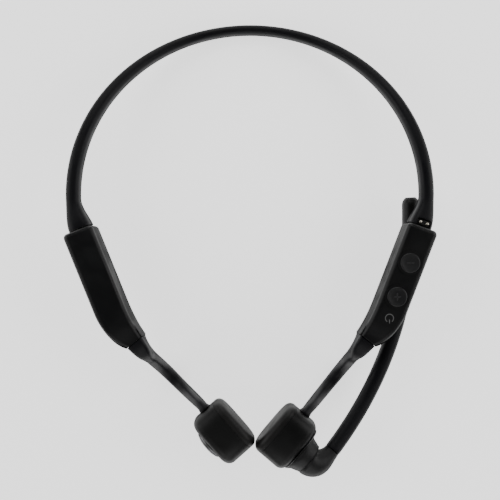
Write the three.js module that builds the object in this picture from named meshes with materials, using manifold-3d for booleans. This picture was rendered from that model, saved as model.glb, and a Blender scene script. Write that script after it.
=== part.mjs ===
// Bone conduction headphones with a swivelling boom microphone, lying with the wearer's underside up.
// Millimetres. +Z is up from the table, +Y is the rear of the neckband and +X is the wearer's right side.
// The origin is on the table, below the centre of the whole outline.
import * as THREE from "three";
import { LoftGeometry } from "three/addons/geometries/LoftGeometry.js";
import { mergeVertices } from "three/addons/utils/BufferGeometryUtils.js";
import Module from "manifold-3d";

const wasm = await Module();
wasm.setup();

// ---------------------------------------------------------------- driving dimensions

// Gap between faces that meet, and running gap around a turning or sliding piece.
const GAP = 0.3;
const RUNNING_GAP = 0.1;

// Neckband: a half circle behind the neck that rises from the table to the two pods.
const BAND_RADIUS = 61.2;
const BAND_REAR_WIDTH = 3.6;
const BAND_REAR_HEIGHT = 5.0;
const BAND_END_WIDTH = 5.1;
const BAND_END_HEIGHT = 6.4;
const BAND_WIRE_RADIUS = 0.75;
const BAND_WIRE_LIFT = -0.95;
const BAND_CABLE_RADIUS = 0.4;
const BAND_CABLE_LIFT = 1.2;

// Boot: the stiff moulded sleeve between the band and a pod.
const BOOT_WIDTH = 8.2;
const BOOT_HEIGHT = 9.6;
const BOOT_INSET = 0.6;

// Pods: the battery on the left, the controls on the right.
const POD_REAR_X = 59;
const POD_REAR_Y = -11.8;
const POD_ANGLE = THREE.MathUtils.degToRad(21.6);
const POD_WIDTH = 10.8;
const POD_HEIGHT = 14;
const POD_LENGTH = 43;
const POD_NOSE_LENGTH = 14;
const POD_STRAIGHT = POD_LENGTH - POD_NOSE_LENGTH;
const POD_NOSE_INSET = 4.9;
const POD_NOSE_SWEEP = THREE.MathUtils.degToRad(55);
const POD_FRONT_SWEEP = THREE.MathUtils.degToRad(66);
const POD_BEND_LENGTH = 12;
const POD_BEND_REACH = 1.55;
const POD_NOSE_SHIFT = 3.6;
const POD_NOSE_WIDTH = 6.7;
const POD_NOSE_SOLID = 9.7;
const POD_CAVITY = POD_LENGTH - POD_NOSE_SOLID;
const POD_END_ROOM = 3.8;
const POD_BASE_Z = 12;
const POD_CORNER_RADIUS = 1.8;
const POD_WALL = 1.2;
const COVER_THICKNESS = 1.8;

const CONTACT_RADIUS = 0.55;

// Controls on the right pod.
const BUTTON_RADIUS = 3.4;
const BUTTON_PROUD = 0.7;
const BUTTON_TRAVEL = 0.4;
const BUTTON_PITCH = 12.3;
const BUTTON_FROM_FRONT = 17.5;
const BUTTON_PLUS_Y = BUTTON_FROM_FRONT - POD_LENGTH;
const BUTTON_MINUS_Y = BUTTON_PLUS_Y + BUTTON_PITCH;
const BUTTON_FLANGE_RADIUS = POD_WIDTH / 2 - POD_WALL - 0.2;
const BOARD_THICKNESS = 0.8;
const BOARD_TOP_Z = 7.6;
const SWITCH_WIDTH = 3.6;
const SWITCH_HEIGHT = 1.8;
const SWITCH_TIP_HEIGHT = 0.6;

// Ear hooks: the lowest point of each hook rests on the table.
const HOOK_APEX_SHARE = 0.55;
const HOOK_BOW = 2.6;
const HOOK_APEX_WIDTH = 4.6;
const HOOK_APEX_HEIGHT = 4.6;
const HOOK_END_WIDTH = 3.5;
const HOOK_FLARE = 10;
const HOOK_DROP = 12;
const HOOK_LEAVE = 8.5;
const HOOK_LEVEL = 9.94;
const HOOK_ARRIVE = 4;
const HOOK_WIRE_RADIUS = 0.7;
const HOOK_WIRE_ANCHOR = 6;
const HOOK_TURN = THREE.MathUtils.degToRad(17);

// Transducers: rounded oval drums that press on the cheekbones.
const TRANSDUCER_X = 11.8;
const TRANSDUCER_Y = -84.1;
const TRANSDUCER_Z = 17;
const LEFT_SET_X = 2.15;
const LEFT_SET_Y = 1.8;
const TOE_ANGLE = THREE.MathUtils.degToRad(41);
const TRANSDUCER_LENGTH = 20.2;
const TRANSDUCER_HEIGHT = 15;
const TRANSDUCER_DEPTH = 13.5;
const TRANSDUCER_WALL = 1.3;
const OUTER_ROUNDING = 3;
const INNER_ROUNDING = 1;
const PAD_THICKNESS = 3.2;
const PAD_ROUNDING = 2.3;

// The motor inside a transducer, sized from the drum.
const YOKE_RADIUS = TRANSDUCER_HEIGHT * 0.3;
const YOKE_WALL = 0.7;
const YOKE_DEPTH = 3.5;
const COIL_WALL = 0.7;
const SPIGOT_DEPTH = 1.2;

// Multifunction button on the outer face of the left transducer.
const MAIN_BUTTON_MARGIN = 3.1;
const MAIN_BUTTON_RADIUS = TRANSDUCER_HEIGHT / 2 - MAIN_BUTTON_MARGIN;
const MAIN_BUTTON_PROUD = 1.3;
const MAIN_BEZEL_WIDTH = 0.9;
const MAIN_BEZEL_PROUD = 0.6;

// Boom: a hub on the right transducer carries an elbow that turns with the arm.
const HUB_FORWARD = 1;
const HUB_SKIRT_HEIGHT = 1.3;
const HUB_HEIGHT = 3;
const HUB_BASE_RADIUS = 6.6;
const HUB_FOOT = 1;
const HUB_FOOT_TRIM = 0.4;
const HUB_TOP_RADIUS = 5.7;
const HUB_STEP = 1.4;
const PIVOT_RADIUS = 1.5;
const PIVOT_REACH = 3;
const ARM_OFFSET = 15.8;
const ARM_WIDTH = 5.4;
const ARM_HEIGHT = 5.2;
const ARM_SHARE = 0.83;
const ARM_START_BACK = 6.5;
const ARM_DROP = 0.6;
const TIP_WIDTH = 6.2;
const TIP_HEIGHT = 6;
const MIC_RADIUS = 1.3;

// ---------------------------------------------------------------- shape helpers

// A closed three.js geometry as a manifold solid, and back.
function solid(geometry) {
  const bare = new THREE.BufferGeometry().copy(geometry);
  bare.deleteAttribute("normal");
  bare.deleteAttribute("uv");
  const merged = mergeVertices(bare, 1e-4);
  return new wasm.Manifold(new wasm.Mesh({
    numProp: 3,
    vertProperties: merged.attributes.position.array,
    triVerts: new Uint32Array(merged.index.array),
  }));
}

function geometryOf(body) {
  const mesh = body.getMesh();
  const geometry = new THREE.BufferGeometry();
  geometry.setAttribute("position", new THREE.BufferAttribute(mesh.vertProperties, 3));
  geometry.setIndex(new THREE.BufferAttribute(mesh.triVerts, 1));
  return geometry;
}

// A box and a disc by their lowest and highest planes.
function box(width, length, low, high, x = 0, y = 0) {
  return new THREE.BoxGeometry(width, length, high - low).translate(x, y, (low + high) / 2);
}

function disc(radius, low, high, x = 0, y = 0, sides = 24) {
  const geometry = new THREE.CylinderGeometry(radius, radius, high - low, sides);
  return geometry.rotateX(Math.PI / 2).translate(x, y, (low + high) / 2);
}

// One closed ring of a loft: a superellipse across a path, in the plane of its side and up directions.
function ring(centre, side, up, halfWidth, halfHeight, power, sides) {
  const points = [];
  for (let k = 0; k < sides; k += 1) {
    const cos = Math.cos((2 * Math.PI * k) / sides);
    const sin = Math.sin((2 * Math.PI * k) / sides);
    const across = halfWidth * Math.sign(cos) * Math.abs(cos) ** (2 / power);
    const above = halfHeight * Math.sign(sin) * Math.abs(sin) ** (2 / power);
    points.push(centre.clone().addScaledVector(side, across).addScaledVector(up, above));
  }
  return points;
}

// A solid along a curve. The function section(distance, length) gives half width, half height, power
// and how far the section lies to the left of the curve.
function sweep(curve, steps, sides, section, lift = 0) {
  const length = curve.getLength();
  const rings = [];
  for (let i = 0; i <= steps; i += 1) {
    const tangent = curve.getTangentAt(i / steps);
    const side = new THREE.Vector3(0, 0, 1).cross(tangent).normalize();
    const up = tangent.clone().cross(side);
    const [halfWidth, halfHeight, power, shift = 0] = section((length * i) / steps, length);
    const centre = curve.getPointAt(i / steps).addScaledVector(up, lift).addScaledVector(side, shift);
    rings.push(ring(centre, side, up, halfWidth, halfHeight, power, sides));
  }
  return new LoftGeometry(rings, { capStart: true, capEnd: true });
}

function rod(curve, steps, sides, radius, lift = 0) {
  return sweep(curve, steps, sides, () => [radius, radius, 2], lift);
}

// A solid of rings stacked along Z. Each level is [z, half width, half height, power].
function stack(levels, sides) {
  const side = new THREE.Vector3(1, 0, 0);
  const up = new THREE.Vector3(0, 1, 0);
  const rings = levels.map(([z, halfWidth, halfHeight, power]) =>
    ring(new THREE.Vector3(0, 0, z), side, up, halfWidth, halfHeight, power, sides));
  return new LoftGeometry(rings, { capStart: true, capEnd: true });
}

// Levels of a quarter-round edge that ends a stack at z, turning in by radius.
function roundedEnd(z, direction, halfWidth, halfHeight, power, radius, steps) {
  const levels = [];
  for (let i = 0; i <= steps; i += 1) {
    const angle = (Math.PI / 2) * (i / steps);
    const inset = radius * (1 - Math.cos(angle));
    const along = direction * radius * (Math.sin(angle) - 1);
    levels.push([z + along, halfWidth - inset, halfHeight - inset, power]);
  }
  return direction > 0 ? levels : levels.reverse();
}

function blendDown(distance, reach) {
  return 1 - THREE.MathUtils.smoothstep(distance, 0, reach);
}

function material(color, roughness, metalness = 0) {
  return { color, roughness, metalness };
}

const LOOKS = {
  skin: material(0x17181a, 0.62),
  shell: material(0x1d1d1e, 0.55),
  cover: material(0x202122, 0.5),
  pad: material(0x1a1a1b, 0.75),
  button: material(0x26272a, 0.45),
  elbow: material(0x303134, 0.6),
  rim: material(0x5b5d60, 0.35, 0.6),
  steel: material(0x9a9ca0, 0.35, 1),
  titanium: material(0x8c8a86, 0.35, 1),
  copper: material(0xb06a3a, 0.4, 1),
  gold: material(0xd8b25a, 0.3, 1),
  board: material(0x1d4a34, 0.6),
  cell: material(0xa9adb3, 0.4, 0.5),
  cable: material(0x35373b, 0.6),
  mesh: material(0x3c3d3f, 0.5, 0.8),
};

function place(parent, name, shape, look) {
  const geometry = shape instanceof wasm.Manifold ? geometryOf(shape) : shape;
  const mesh = new THREE.Mesh(geometry, new THREE.MeshStandardMaterial(LOOKS[look]));
  mesh.name = name;
  parent.add(mesh);
  return mesh;
}

// ---------------------------------------------------------------- places worked out from the dimensions

const BAND_REAR_Z = BAND_REAR_HEIGHT / 2;
const POD_MID_Z = POD_BASE_Z + POD_HEIGHT / 2;
const SHELL_TOP = POD_HEIGHT - COVER_THICKNESS - GAP;
const COVER_BASE = POD_HEIGHT - COVER_THICKNESS;
const PAD_BASE = TRANSDUCER_DEPTH / 2 - PAD_THICKNESS;
const HOUSING_FRONT = PAD_BASE - GAP;
const HOUSING_BACK = -TRANSDUCER_DEPTH / 2;
const HOUSING_SIDES = 28;
const HOUSING_POWER = 3.2;

// Directions on one side: sign is -1 for the left and +1 for the right.
function podRearward(sign) {
  return new THREE.Vector3(sign * Math.sin(POD_ANGLE), Math.cos(POD_ANGLE), 0);
}

function podRear(sign) {
  return new THREE.Vector3(sign * POD_REAR_X, POD_REAR_Y, POD_MID_Z);
}

function podOutward(sign) {
  return new THREE.Vector3(sign * Math.cos(POD_ANGLE), -Math.sin(POD_ANGLE), 0);
}

// Where the hook leaves the pod: the middle of the narrow front face.
function podFront(sign) {
  return podRear(sign)
    .addScaledVector(podRearward(sign), -POD_LENGTH)
    .addScaledVector(podOutward(sign), -POD_NOSE_SHIFT);
}

// The way a hook sets off from its pod: forward, turned towards the head.
function hookForward(sign) {
  return podRearward(sign)
    .multiplyScalar(-Math.cos(HOOK_TURN))
    .addScaledVector(podOutward(sign), -Math.sin(HOOK_TURN));
}

function transducerCentre(sign) {
  const centre = new THREE.Vector3(sign * TRANSDUCER_X, TRANSDUCER_Y, TRANSDUCER_Z);
  return sign < 0 ? centre.add(new THREE.Vector3(LEFT_SET_X, LEFT_SET_Y, 0)) : centre;
}

function transducerOutward(sign) {
  return new THREE.Vector3(sign * Math.cos(TOE_ANGLE), -Math.sin(TOE_ANGLE), 0);
}

function transducerRearward(sign) {
  return new THREE.Vector3(sign * Math.sin(TOE_ANGLE), Math.cos(TOE_ANGLE), 0);
}

// The half circle of the band, from the left end round the rear to the right end.
class BandArc extends THREE.Curve {
  getPoint(t, target = new THREE.Vector3()) {
    const angle = Math.PI * (t - 0.5);
    const rise = (POD_MID_Z - BAND_REAR_Z) * Math.sin(angle) ** 2;
    return target.set(BAND_RADIUS * Math.sin(angle), BAND_RADIUS * Math.cos(angle), BAND_REAR_Z + rise);
  }
}

function bandEnd(sign) {
  return new THREE.Vector3(sign * BAND_RADIUS, 0, POD_MID_Z);
}

// The boot's curve, from a pod's rear face to the band's end.
function bootCurve(sign) {
  const start = podRear(sign).addScaledVector(podRearward(sign), GAP);
  const end = bandEnd(sign).setY(-GAP);
  const reach = start.distanceTo(end) / 3;
  const leave = start.clone().addScaledVector(podRearward(sign), reach / 2);
  const arrive = end.clone().setY(end.y - reach);
  return new THREE.CubicBezierCurve3(start, leave, arrive, end);
}

// The whole way of the spring wire and the cable, from inside one pod to inside the other.
function bandRoute() {
  const route = new THREE.CurvePath();
  const leftIn = podRear(-1).addScaledVector(podRearward(-1), -POD_WALL - 3);
  const leftBoot = bootCurve(-1);
  const rightBoot = bootCurve(1);
  const rightIn = podRear(1).addScaledVector(podRearward(1), -POD_WALL - 3);
  route.add(new THREE.LineCurve3(leftIn, leftBoot.v0));
  route.add(leftBoot);
  route.add(new THREE.LineCurve3(leftBoot.v3, bandEnd(-1)));
  route.add(new BandArc());
  route.add(new THREE.LineCurve3(bandEnd(1), rightBoot.v3));
  route.add(new THREE.CubicBezierCurve3(rightBoot.v3, rightBoot.v2, rightBoot.v1, rightBoot.v0));
  route.add(new THREE.LineCurve3(rightBoot.v0, rightIn));
  return route;
}

// The hook's curve, from a pod's front face over the ear to the transducer's side.
// It bows outward where it is low.
function hookCurve(sign) {
  const forward = hookForward(sign);
  const start = podFront(sign).addScaledVector(forward, GAP);
  const inward = transducerRearward(sign).negate();
  const end = transducerCentre(sign).addScaledVector(inward, -TRANSDUCER_LENGTH / 2 - GAP);
  const level = end.clone().sub(start).setZ(0).normalize();
  const outward = new THREE.Vector3(-sign * level.y, sign * level.x, 0);
  const apex = start.clone().lerp(end, HOOK_APEX_SHARE).addScaledVector(outward, HOOK_BOW);
  apex.setZ(HOOK_APEX_HEIGHT / 2);
  const curve = new THREE.CurvePath();
  curve.add(new THREE.CubicBezierCurve3(
    start,
    start.clone().addScaledVector(forward, HOOK_LEAVE),
    apex.clone().addScaledVector(level, -HOOK_LEVEL),
    apex,
  ));
  curve.add(new THREE.CubicBezierCurve3(
    apex,
    apex.clone().addScaledVector(level, HOOK_LEVEL),
    end.clone().addScaledVector(inward, -HOOK_ARRIVE),
    end,
  ));
  return curve;
}

// The hook's spring wire runs on straight, into the pod at one end and the transducer at the other.
function hookWireRoute(sign) {
  const [down, up] = hookCurve(sign).curves;
  const inPod = podFront(sign).addScaledVector(hookForward(sign), -HOOK_WIRE_ANCHOR);
  const inHousing = up.v3.clone().addScaledVector(transducerRearward(sign), -TRANSDUCER_WALL - 1);
  const route = new THREE.CurvePath();
  route.add(new THREE.LineCurve3(inPod, down.v0));
  route.add(down);
  route.add(up);
  route.add(new THREE.LineCurve3(up.v3, inHousing));
  return route;
}

// Points of the boom, in the plane of the hub: outward along its axis, rearward, and up.
function boomPoint(outward, rearward, z) {
  return transducerCentre(1)
    .addScaledVector(transducerOutward(1), outward)
    .addScaledVector(transducerRearward(1), rearward)
    .setZ(z);
}

// ---------------------------------------------------------------- neckband

function neckband(parent) {
  const arc = new BandArc();
  const section = (distance, length) => {
    const share = Math.sin((Math.PI * distance) / length) ** 2;
    const width = THREE.MathUtils.lerp(BAND_END_WIDTH, BAND_REAR_WIDTH, share);
    const height = THREE.MathUtils.lerp(BAND_END_HEIGHT, BAND_REAR_HEIGHT, share);
    return [width / 2, height / 2, 2.5];
  };
  const route = bandRoute();
  const skin = solid(sweep(arc, 32, 16, section))
    .subtract(solid(rod(route, 44, 6, BAND_WIRE_RADIUS + GAP, BAND_WIRE_LIFT)))
    .subtract(solid(rod(route, 44, 6, BAND_CABLE_RADIUS + GAP, BAND_CABLE_LIFT)));
  place(parent, "neckband_skin", skin, "skin");
  place(parent, "neckband_wire", rod(route, 44, 6, BAND_WIRE_RADIUS, BAND_WIRE_LIFT), "titanium");
  place(parent, "neckband_cable", rod(route, 44, 6, BAND_CABLE_RADIUS, BAND_CABLE_LIFT), "cable");
}

// ---------------------------------------------------------------- pods

// What a pod may cover, seen from above: its outer side curves in towards the front.
function podPlan(sign) {
  const half = POD_WIDTH / 2;
  const inner = -sign * (half + POD_BEND_REACH + 1);
  const steps = 12;
  const points = [new THREE.Vector2(inner, 0), new THREE.Vector2(sign * half, 0)];
  for (let i = 0; i <= steps; i += 1) {
    const angle = POD_FRONT_SWEEP * (i / steps);
    const drawnIn = (1 - Math.cos(angle)) / (1 - Math.cos(POD_NOSE_SWEEP));
    const forward = Math.sin(angle) / Math.sin(POD_NOSE_SWEEP);
    const across = sign * (half - POD_NOSE_INSET * drawnIn);
    points.push(new THREE.Vector2(across, -POD_STRAIGHT - POD_NOSE_LENGTH * forward));
  }
  points.push(new THREE.Vector2(inner, points.at(-1).y));
  const depth = POD_HEIGHT * 2;
  const plan = new THREE.ExtrudeGeometry(new THREE.Shape(points), { depth, bevelEnabled: false });
  return solid(plan.translate(0, 0, -POD_HEIGHT / 2));
}

// A bar with the pod's rounded section, drawn forward from y = 0.
function podBar(length) {
  const half = POD_WIDTH / 2 - POD_CORNER_RADIUS;
  const low = POD_CORNER_RADIUS;
  const high = POD_HEIGHT - POD_CORNER_RADIUS;
  const outline = new THREE.Shape();
  outline.absarc(half, low, POD_CORNER_RADIUS, -Math.PI / 2, 0);
  outline.absarc(half, high, POD_CORNER_RADIUS, 0, Math.PI / 2);
  outline.absarc(-half, high, POD_CORNER_RADIUS, Math.PI / 2, Math.PI);
  outline.absarc(-half, low, POD_CORNER_RADIUS, Math.PI, Math.PI * 1.5);
  const bar = new THREE.ExtrudeGeometry(outline, { depth: length, bevelEnabled: false, curveSegments: 4 });
  return bar.rotateX(Math.PI / 2);
}

// Sets a shape on the pod's turned front face, moved along the hook's first direction.
function podFrontPiece(sign, geometry, along = 0) {
  return geometry
    .translate(0, -along, 0)
    .rotateZ(-sign * HOOK_TURN)
    .translate(-sign * POD_NOSE_SHIFT, -POD_LENGTH, POD_HEIGHT / 2);
}

// The pod's outside: a straight bar, and a short one bent towards the head at the front.
function podBlock(sign) {
  const hinge = (-sign * POD_WIDTH) / 2;
  const bend = podBar(POD_BEND_LENGTH + 2)
    .translate(-hinge, 0, 0)
    .rotateZ(-sign * Math.atan(POD_BEND_REACH / POD_BEND_LENGTH))
    .translate(hinge, POD_BEND_LENGTH - POD_LENGTH, 0);
  const block = new THREE.BoxGeometry(POD_LENGTH, POD_LENGTH, POD_LENGTH);
  const beyond = podFrontPiece(sign, block, POD_LENGTH / 2);
  return solid(podBar(POD_LENGTH + 2)).add(solid(bend)).intersect(podPlan(sign)).subtract(solid(beyond));
}

// A hole through the pod's rear end, at a lift from the pod's middle height.
function endHole(radius, lift, y, reach) {
  const hole = new THREE.CylinderGeometry(radius, radius, 2 * reach, 12);
  return solid(hole.translate(0, y, POD_HEIGHT / 2 + lift));
}

function podShell(sign) {
  const inner = POD_WIDTH - 2 * POD_WALL;
  const ledge = BOARD_TOP_Z - BOARD_THICKNESS - GAP;
  const cavityFront = -POD_WALL - POD_CAVITY;
  let shell = podBlock(sign).intersect(solid(box(POD_WIDTH * 2, POD_LENGTH * 3, 0, SHELL_TOP)));
  shell = shell.subtract(solid(box(inner, POD_CAVITY, POD_WALL, POD_HEIGHT, 0, -POD_WALL - POD_CAVITY / 2)));
  for (const y of [-POD_WALL - 1, cavityFront + 1]) {
    shell = shell.add(solid(box(inner + 0.4, 2.4, POD_WALL - 0.2, ledge - 3, 0, y)));
  }
  shell = shell.subtract(endHole(BAND_WIRE_RADIUS + GAP, BAND_WIRE_LIFT, 0, POD_WALL * 2));
  shell = shell.subtract(endHole(BAND_CABLE_RADIUS + GAP, BAND_CABLE_LIFT, 0, POD_WALL * 2));
  const bore = HOOK_WIRE_RADIUS + GAP;
  const hookHole = new THREE.CylinderGeometry(bore, bore, 2 * (HOOK_WIRE_ANCHOR + GAP), 12);
  return shell.subtract(solid(podFrontPiece(sign, hookHole)));
}

// The cover closes the tray and is held by a tab at each end.
function podCover(sign) {
  const tabWidth = POD_WIDTH - 2 * (POD_WALL + GAP);
  const cavityFront = -POD_WALL - POD_CAVITY;
  const above = solid(box(POD_WIDTH * 2, POD_LENGTH * 3, COVER_BASE, POD_HEIGHT * 2));
  let cover = podBlock(sign).intersect(above);
  for (const y of [-POD_WALL - GAP - 0.5, cavityFront + GAP + 0.5]) {
    cover = cover.add(solid(box(tabWidth, 1, SHELL_TOP - 1, COVER_BASE + 0.3, 0, y)));
  }
  return cover;
}

function podGroup(parent, sign) {
  const pod = new THREE.Group();
  pod.position.set(sign * POD_REAR_X, POD_REAR_Y, POD_BASE_Z);
  pod.rotation.z = -sign * POD_ANGLE;
  parent.add(pod);
  return pod;
}

// ---------------------------------------------------------------- left pod: battery

function leftPod(parent) {
  const pod = podGroup(parent, -1);
  place(pod, "left_pod_shell", podShell(-1), "shell");
  place(pod, "left_pod_cover", podCover(-1), "cover");
  const cellWidth = POD_WIDTH - 2 * (POD_WALL + GAP);
  const cellTop = SHELL_TOP - GAP - BOARD_THICKNESS - 1;
  const cellLength = POD_CAVITY - 2 * POD_END_ROOM;
  const middle = -POD_WALL - POD_CAVITY / 2;
  place(pod, "battery_cell", box(cellWidth, cellLength, POD_WALL + GAP, cellTop, 0, middle), "cell");
  const boardLow = cellTop + GAP;
  const board = box(cellWidth - 1, cellLength / 2, boardLow, boardLow + BOARD_THICKNESS, 0, middle);
  place(pod, "battery_protection_board", board, "board");
}

// ---------------------------------------------------------------- right pod: controls

// A key: a cap through the cover, a flange that holds it in, and a stem above the switch.
function volumeButton(sides = 28) {
  const flangeTop = COVER_BASE - GAP;
  const flangeBase = flangeTop - 0.6;
  const top = POD_HEIGHT + BUTTON_PROUD;
  const edge = 0.35;
  const cap = stack([
    [flangeTop - 0.1, BUTTON_RADIUS, BUTTON_RADIUS, 2],
    ...roundedEnd(top, 1, BUTTON_RADIUS, BUTTON_RADIUS, 2, edge, 2),
  ], sides);
  const stemBase = BOARD_TOP_Z + GAP + SWITCH_HEIGHT + SWITCH_TIP_HEIGHT + BUTTON_TRAVEL + RUNNING_GAP;
  return solid(cap)
    .add(solid(disc(BUTTON_FLANGE_RADIUS, flangeBase, flangeTop, 0, 0, sides)))
    .add(solid(disc(1, stemBase, flangeBase + 0.2, 0, 0, 12)));
}

function tactSwitch(low) {
  const bodyTop = low + SWITCH_HEIGHT;
  return solid(box(SWITCH_WIDTH, SWITCH_WIDTH, low, bodyTop))
    .add(solid(disc(0.9, bodyTop - 0.2, bodyTop + SWITCH_TIP_HEIGHT, 0, 0, 12)));
}

function rightPod(parent) {
  const pod = podGroup(parent, 1);
  place(pod, "right_pod_shell", podShell(1), "shell");
  const keys = { volume_minus: BUTTON_MINUS_Y, volume_plus: BUTTON_PLUS_Y };
  let cover = podCover(1);
  for (const y of Object.values(keys)) {
    cover = cover.subtract(solid(disc(BUTTON_RADIUS + GAP, COVER_BASE - 1, POD_HEIGHT + 1, 0, y, 28)));
  }
  place(pod, "right_pod_cover", cover, "cover");
  const boardWidth = POD_WIDTH - 2 * (POD_WALL + GAP);
  const boardLength = POD_CAVITY - 2 * POD_END_ROOM;
  const middle = -POD_WALL - POD_CAVITY / 2;
  const boardLow = BOARD_TOP_Z - BOARD_THICKNESS;
  place(pod, "main_board", box(boardWidth, boardLength, boardLow, BOARD_TOP_Z, 0, middle), "board");
  for (const [name, y] of Object.entries(keys)) {
    place(pod, name + "_button", volumeButton(), "button").position.y = y;
    place(pod, name + "_switch", tactSwitch(BOARD_TOP_Z + GAP), "steel").position.y = y;
  }
  const shieldLow = BOARD_TOP_Z + GAP;
  const shieldLength = Math.abs(BUTTON_MINUS_Y - BUTTON_PLUS_Y) - SWITCH_WIDTH - 2;
  const shieldY = (BUTTON_MINUS_Y + BUTTON_PLUS_Y) / 2;
  const shield = box(boardWidth - 1.4, shieldLength, shieldLow, shieldLow + 1.4, 0, shieldY);
  place(pod, "radio_shield", shield, "steel");
}

// ---------------------------------------------------------------- boots and charging contacts

function bootBody(sign) {
  const section = (distance, length) => {
    const share = blendDown(distance, length * 0.85);
    const width = THREE.MathUtils.lerp(BAND_END_WIDTH, BOOT_WIDTH, share);
    const height = THREE.MathUtils.lerp(BAND_END_HEIGHT, BOOT_HEIGHT, share);
    return [width / 2, height / 2, 2.5 + share, sign * BOOT_INSET * share];
  };
  const route = bandRoute();
  return solid(sweep(bootCurve(sign), 8, 16, section))
    .subtract(solid(rod(route, 44, 6, BAND_WIRE_RADIUS + GAP, BAND_WIRE_LIFT)))
    .subtract(solid(rod(route, 44, 6, BAND_CABLE_RADIUS + GAP, BAND_CABLE_LIFT)));
}

// Charging contacts lie in a pocket in the top of the right boot, next to the pod's rear face.
function chargingContacts(parent) {
  const pocket = { width: 5, length: 2.4, y: 1.2 + GAP, depth: 2.4 };
  const group = podGroup(parent, 1);
  const top = POD_HEIGHT / 2 + BOOT_HEIGHT / 2;
  const floor = top - pocket.depth;
  const cut = solid(box(pocket.width, pocket.length, floor, top + 2, 0, pocket.y));
  group.updateWorldMatrix(true, false);
  const boot = bootBody(1).subtract(cut.transform(group.matrix.toArray()));
  place(parent, "right_band_boot", boot, "skin");
  const blockTop = floor + GAP + 1.1;
  const blockWidth = pocket.width - 2 * GAP;
  const blockLength = pocket.length - 2 * GAP;
  let block = solid(box(blockWidth, blockLength, floor + GAP, blockTop, 0, pocket.y));
  for (const [name, x] of [["charging_contact_inner", -1.2], ["charging_contact_outer", 1.2]]) {
    block = block.subtract(solid(disc(CONTACT_RADIUS + RUNNING_GAP, floor, blockTop + 1, x, pocket.y, 16)));
    place(group, name, disc(CONTACT_RADIUS, floor + GAP, blockTop + 0.35, x, pocket.y, 16), "gold");
  }
  place(group, "charging_block", block, "cable");
}

// ---------------------------------------------------------------- ear hooks

function hook(parent, name, sign) {
  const section = (distance, length) => {
    const along = THREE.MathUtils.clamp((distance / length - 0.5) * 2, 0, 1);
    const neck = THREE.MathUtils.lerp(HOOK_APEX_WIDTH, HOOK_END_WIDTH, along) / 2;
    const height = THREE.MathUtils.lerp(HOOK_APEX_HEIGHT, HOOK_END_WIDTH + 0.6, along) / 2;
    const flare = Math.max(0, 1 - distance / HOOK_FLARE) ** 2;
    return [
      THREE.MathUtils.lerp(neck, POD_NOSE_WIDTH / 2, flare),
      THREE.MathUtils.lerp(height, POD_HEIGHT / 2, blendDown(distance, HOOK_DROP)),
      2.4 + 3 * blendDown(distance, HOOK_DROP / 2),
    ];
  };
  const route = hookWireRoute(sign);
  const bore = solid(rod(route, 22, 6, HOOK_WIRE_RADIUS + GAP));
  place(parent, name + "_hook_skin", solid(sweep(hookCurve(sign), 24, 16, section)).subtract(bore), "skin");
  place(parent, name + "_hook_wire", rod(route, 22, 6, HOOK_WIRE_RADIUS), "titanium");
}

// ---------------------------------------------------------------- transducers

// Local frame of a transducer: +Z faces the cheekbone and +X points back towards the hook.
function transducerGroup(parent, sign) {
  const group = new THREE.Group();
  const facing = transducerOutward(sign).negate();
  const rearward = transducerRearward(sign);
  const third = facing.clone().cross(rearward);
  const turn = new THREE.Matrix4().makeBasis(rearward, third, facing);
  group.quaternion.setFromRotationMatrix(turn);
  group.position.copy(transducerCentre(sign));
  parent.add(group);
  return group;
}

function transducerHousing(openingRadius, openingX) {
  const halfLength = TRANSDUCER_LENGTH / 2;
  const halfHeight = TRANSDUCER_HEIGHT / 2;
  const wallEnd = HOUSING_BACK + TRANSDUCER_WALL;
  const outside = stack([
    ...roundedEnd(HOUSING_BACK, -1, halfLength, halfHeight, HOUSING_POWER, OUTER_ROUNDING, 4),
    [HOUSING_FRONT, halfLength, halfHeight, HOUSING_POWER],
  ], HOUSING_SIDES);
  const inner = [halfLength - TRANSDUCER_WALL, halfHeight - TRANSDUCER_WALL, HOUSING_POWER];
  const inside = stack([
    ...roundedEnd(HOUSING_BACK + TRANSDUCER_WALL, -1, ...inner, INNER_ROUNDING, 2),
    [HOUSING_FRONT + 1, ...inner],
  ], HOUSING_SIDES);
  const wireHole = new THREE.CylinderGeometry(HOOK_WIRE_RADIUS + GAP, HOOK_WIRE_RADIUS + GAP, 6, 12);
  wireHole.rotateZ(Math.PI / 2).translate(halfLength, 0, 0);
  return solid(outside)
    .subtract(solid(inside))
    .subtract(solid(wireHole))
    .subtract(solid(disc(openingRadius, HOUSING_BACK - 1, wallEnd + 1, openingX, 0, HOUSING_SIDES)));
}

// The pad is a domed cap over the housing's mouth, with a spigot that fits inside it.
function contactPad() {
  const halfLength = TRANSDUCER_LENGTH / 2;
  const halfHeight = TRANSDUCER_HEIGHT / 2;
  const spigot = TRANSDUCER_WALL + GAP;
  const cap = stack([
    [PAD_BASE, halfLength, halfHeight, HOUSING_POWER],
    ...roundedEnd(TRANSDUCER_DEPTH / 2, 1, halfLength, halfHeight, HOUSING_POWER, PAD_ROUNDING, 5),
  ], HOUSING_SIDES);
  const plug = stack([
    [PAD_BASE - SPIGOT_DEPTH, halfLength - spigot, halfHeight - spigot, HOUSING_POWER],
    [PAD_BASE + 0.4, halfLength - spigot, halfHeight - spigot, HOUSING_POWER],
  ], HOUSING_SIDES);
  return solid(cap).add(solid(plug));
}

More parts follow.
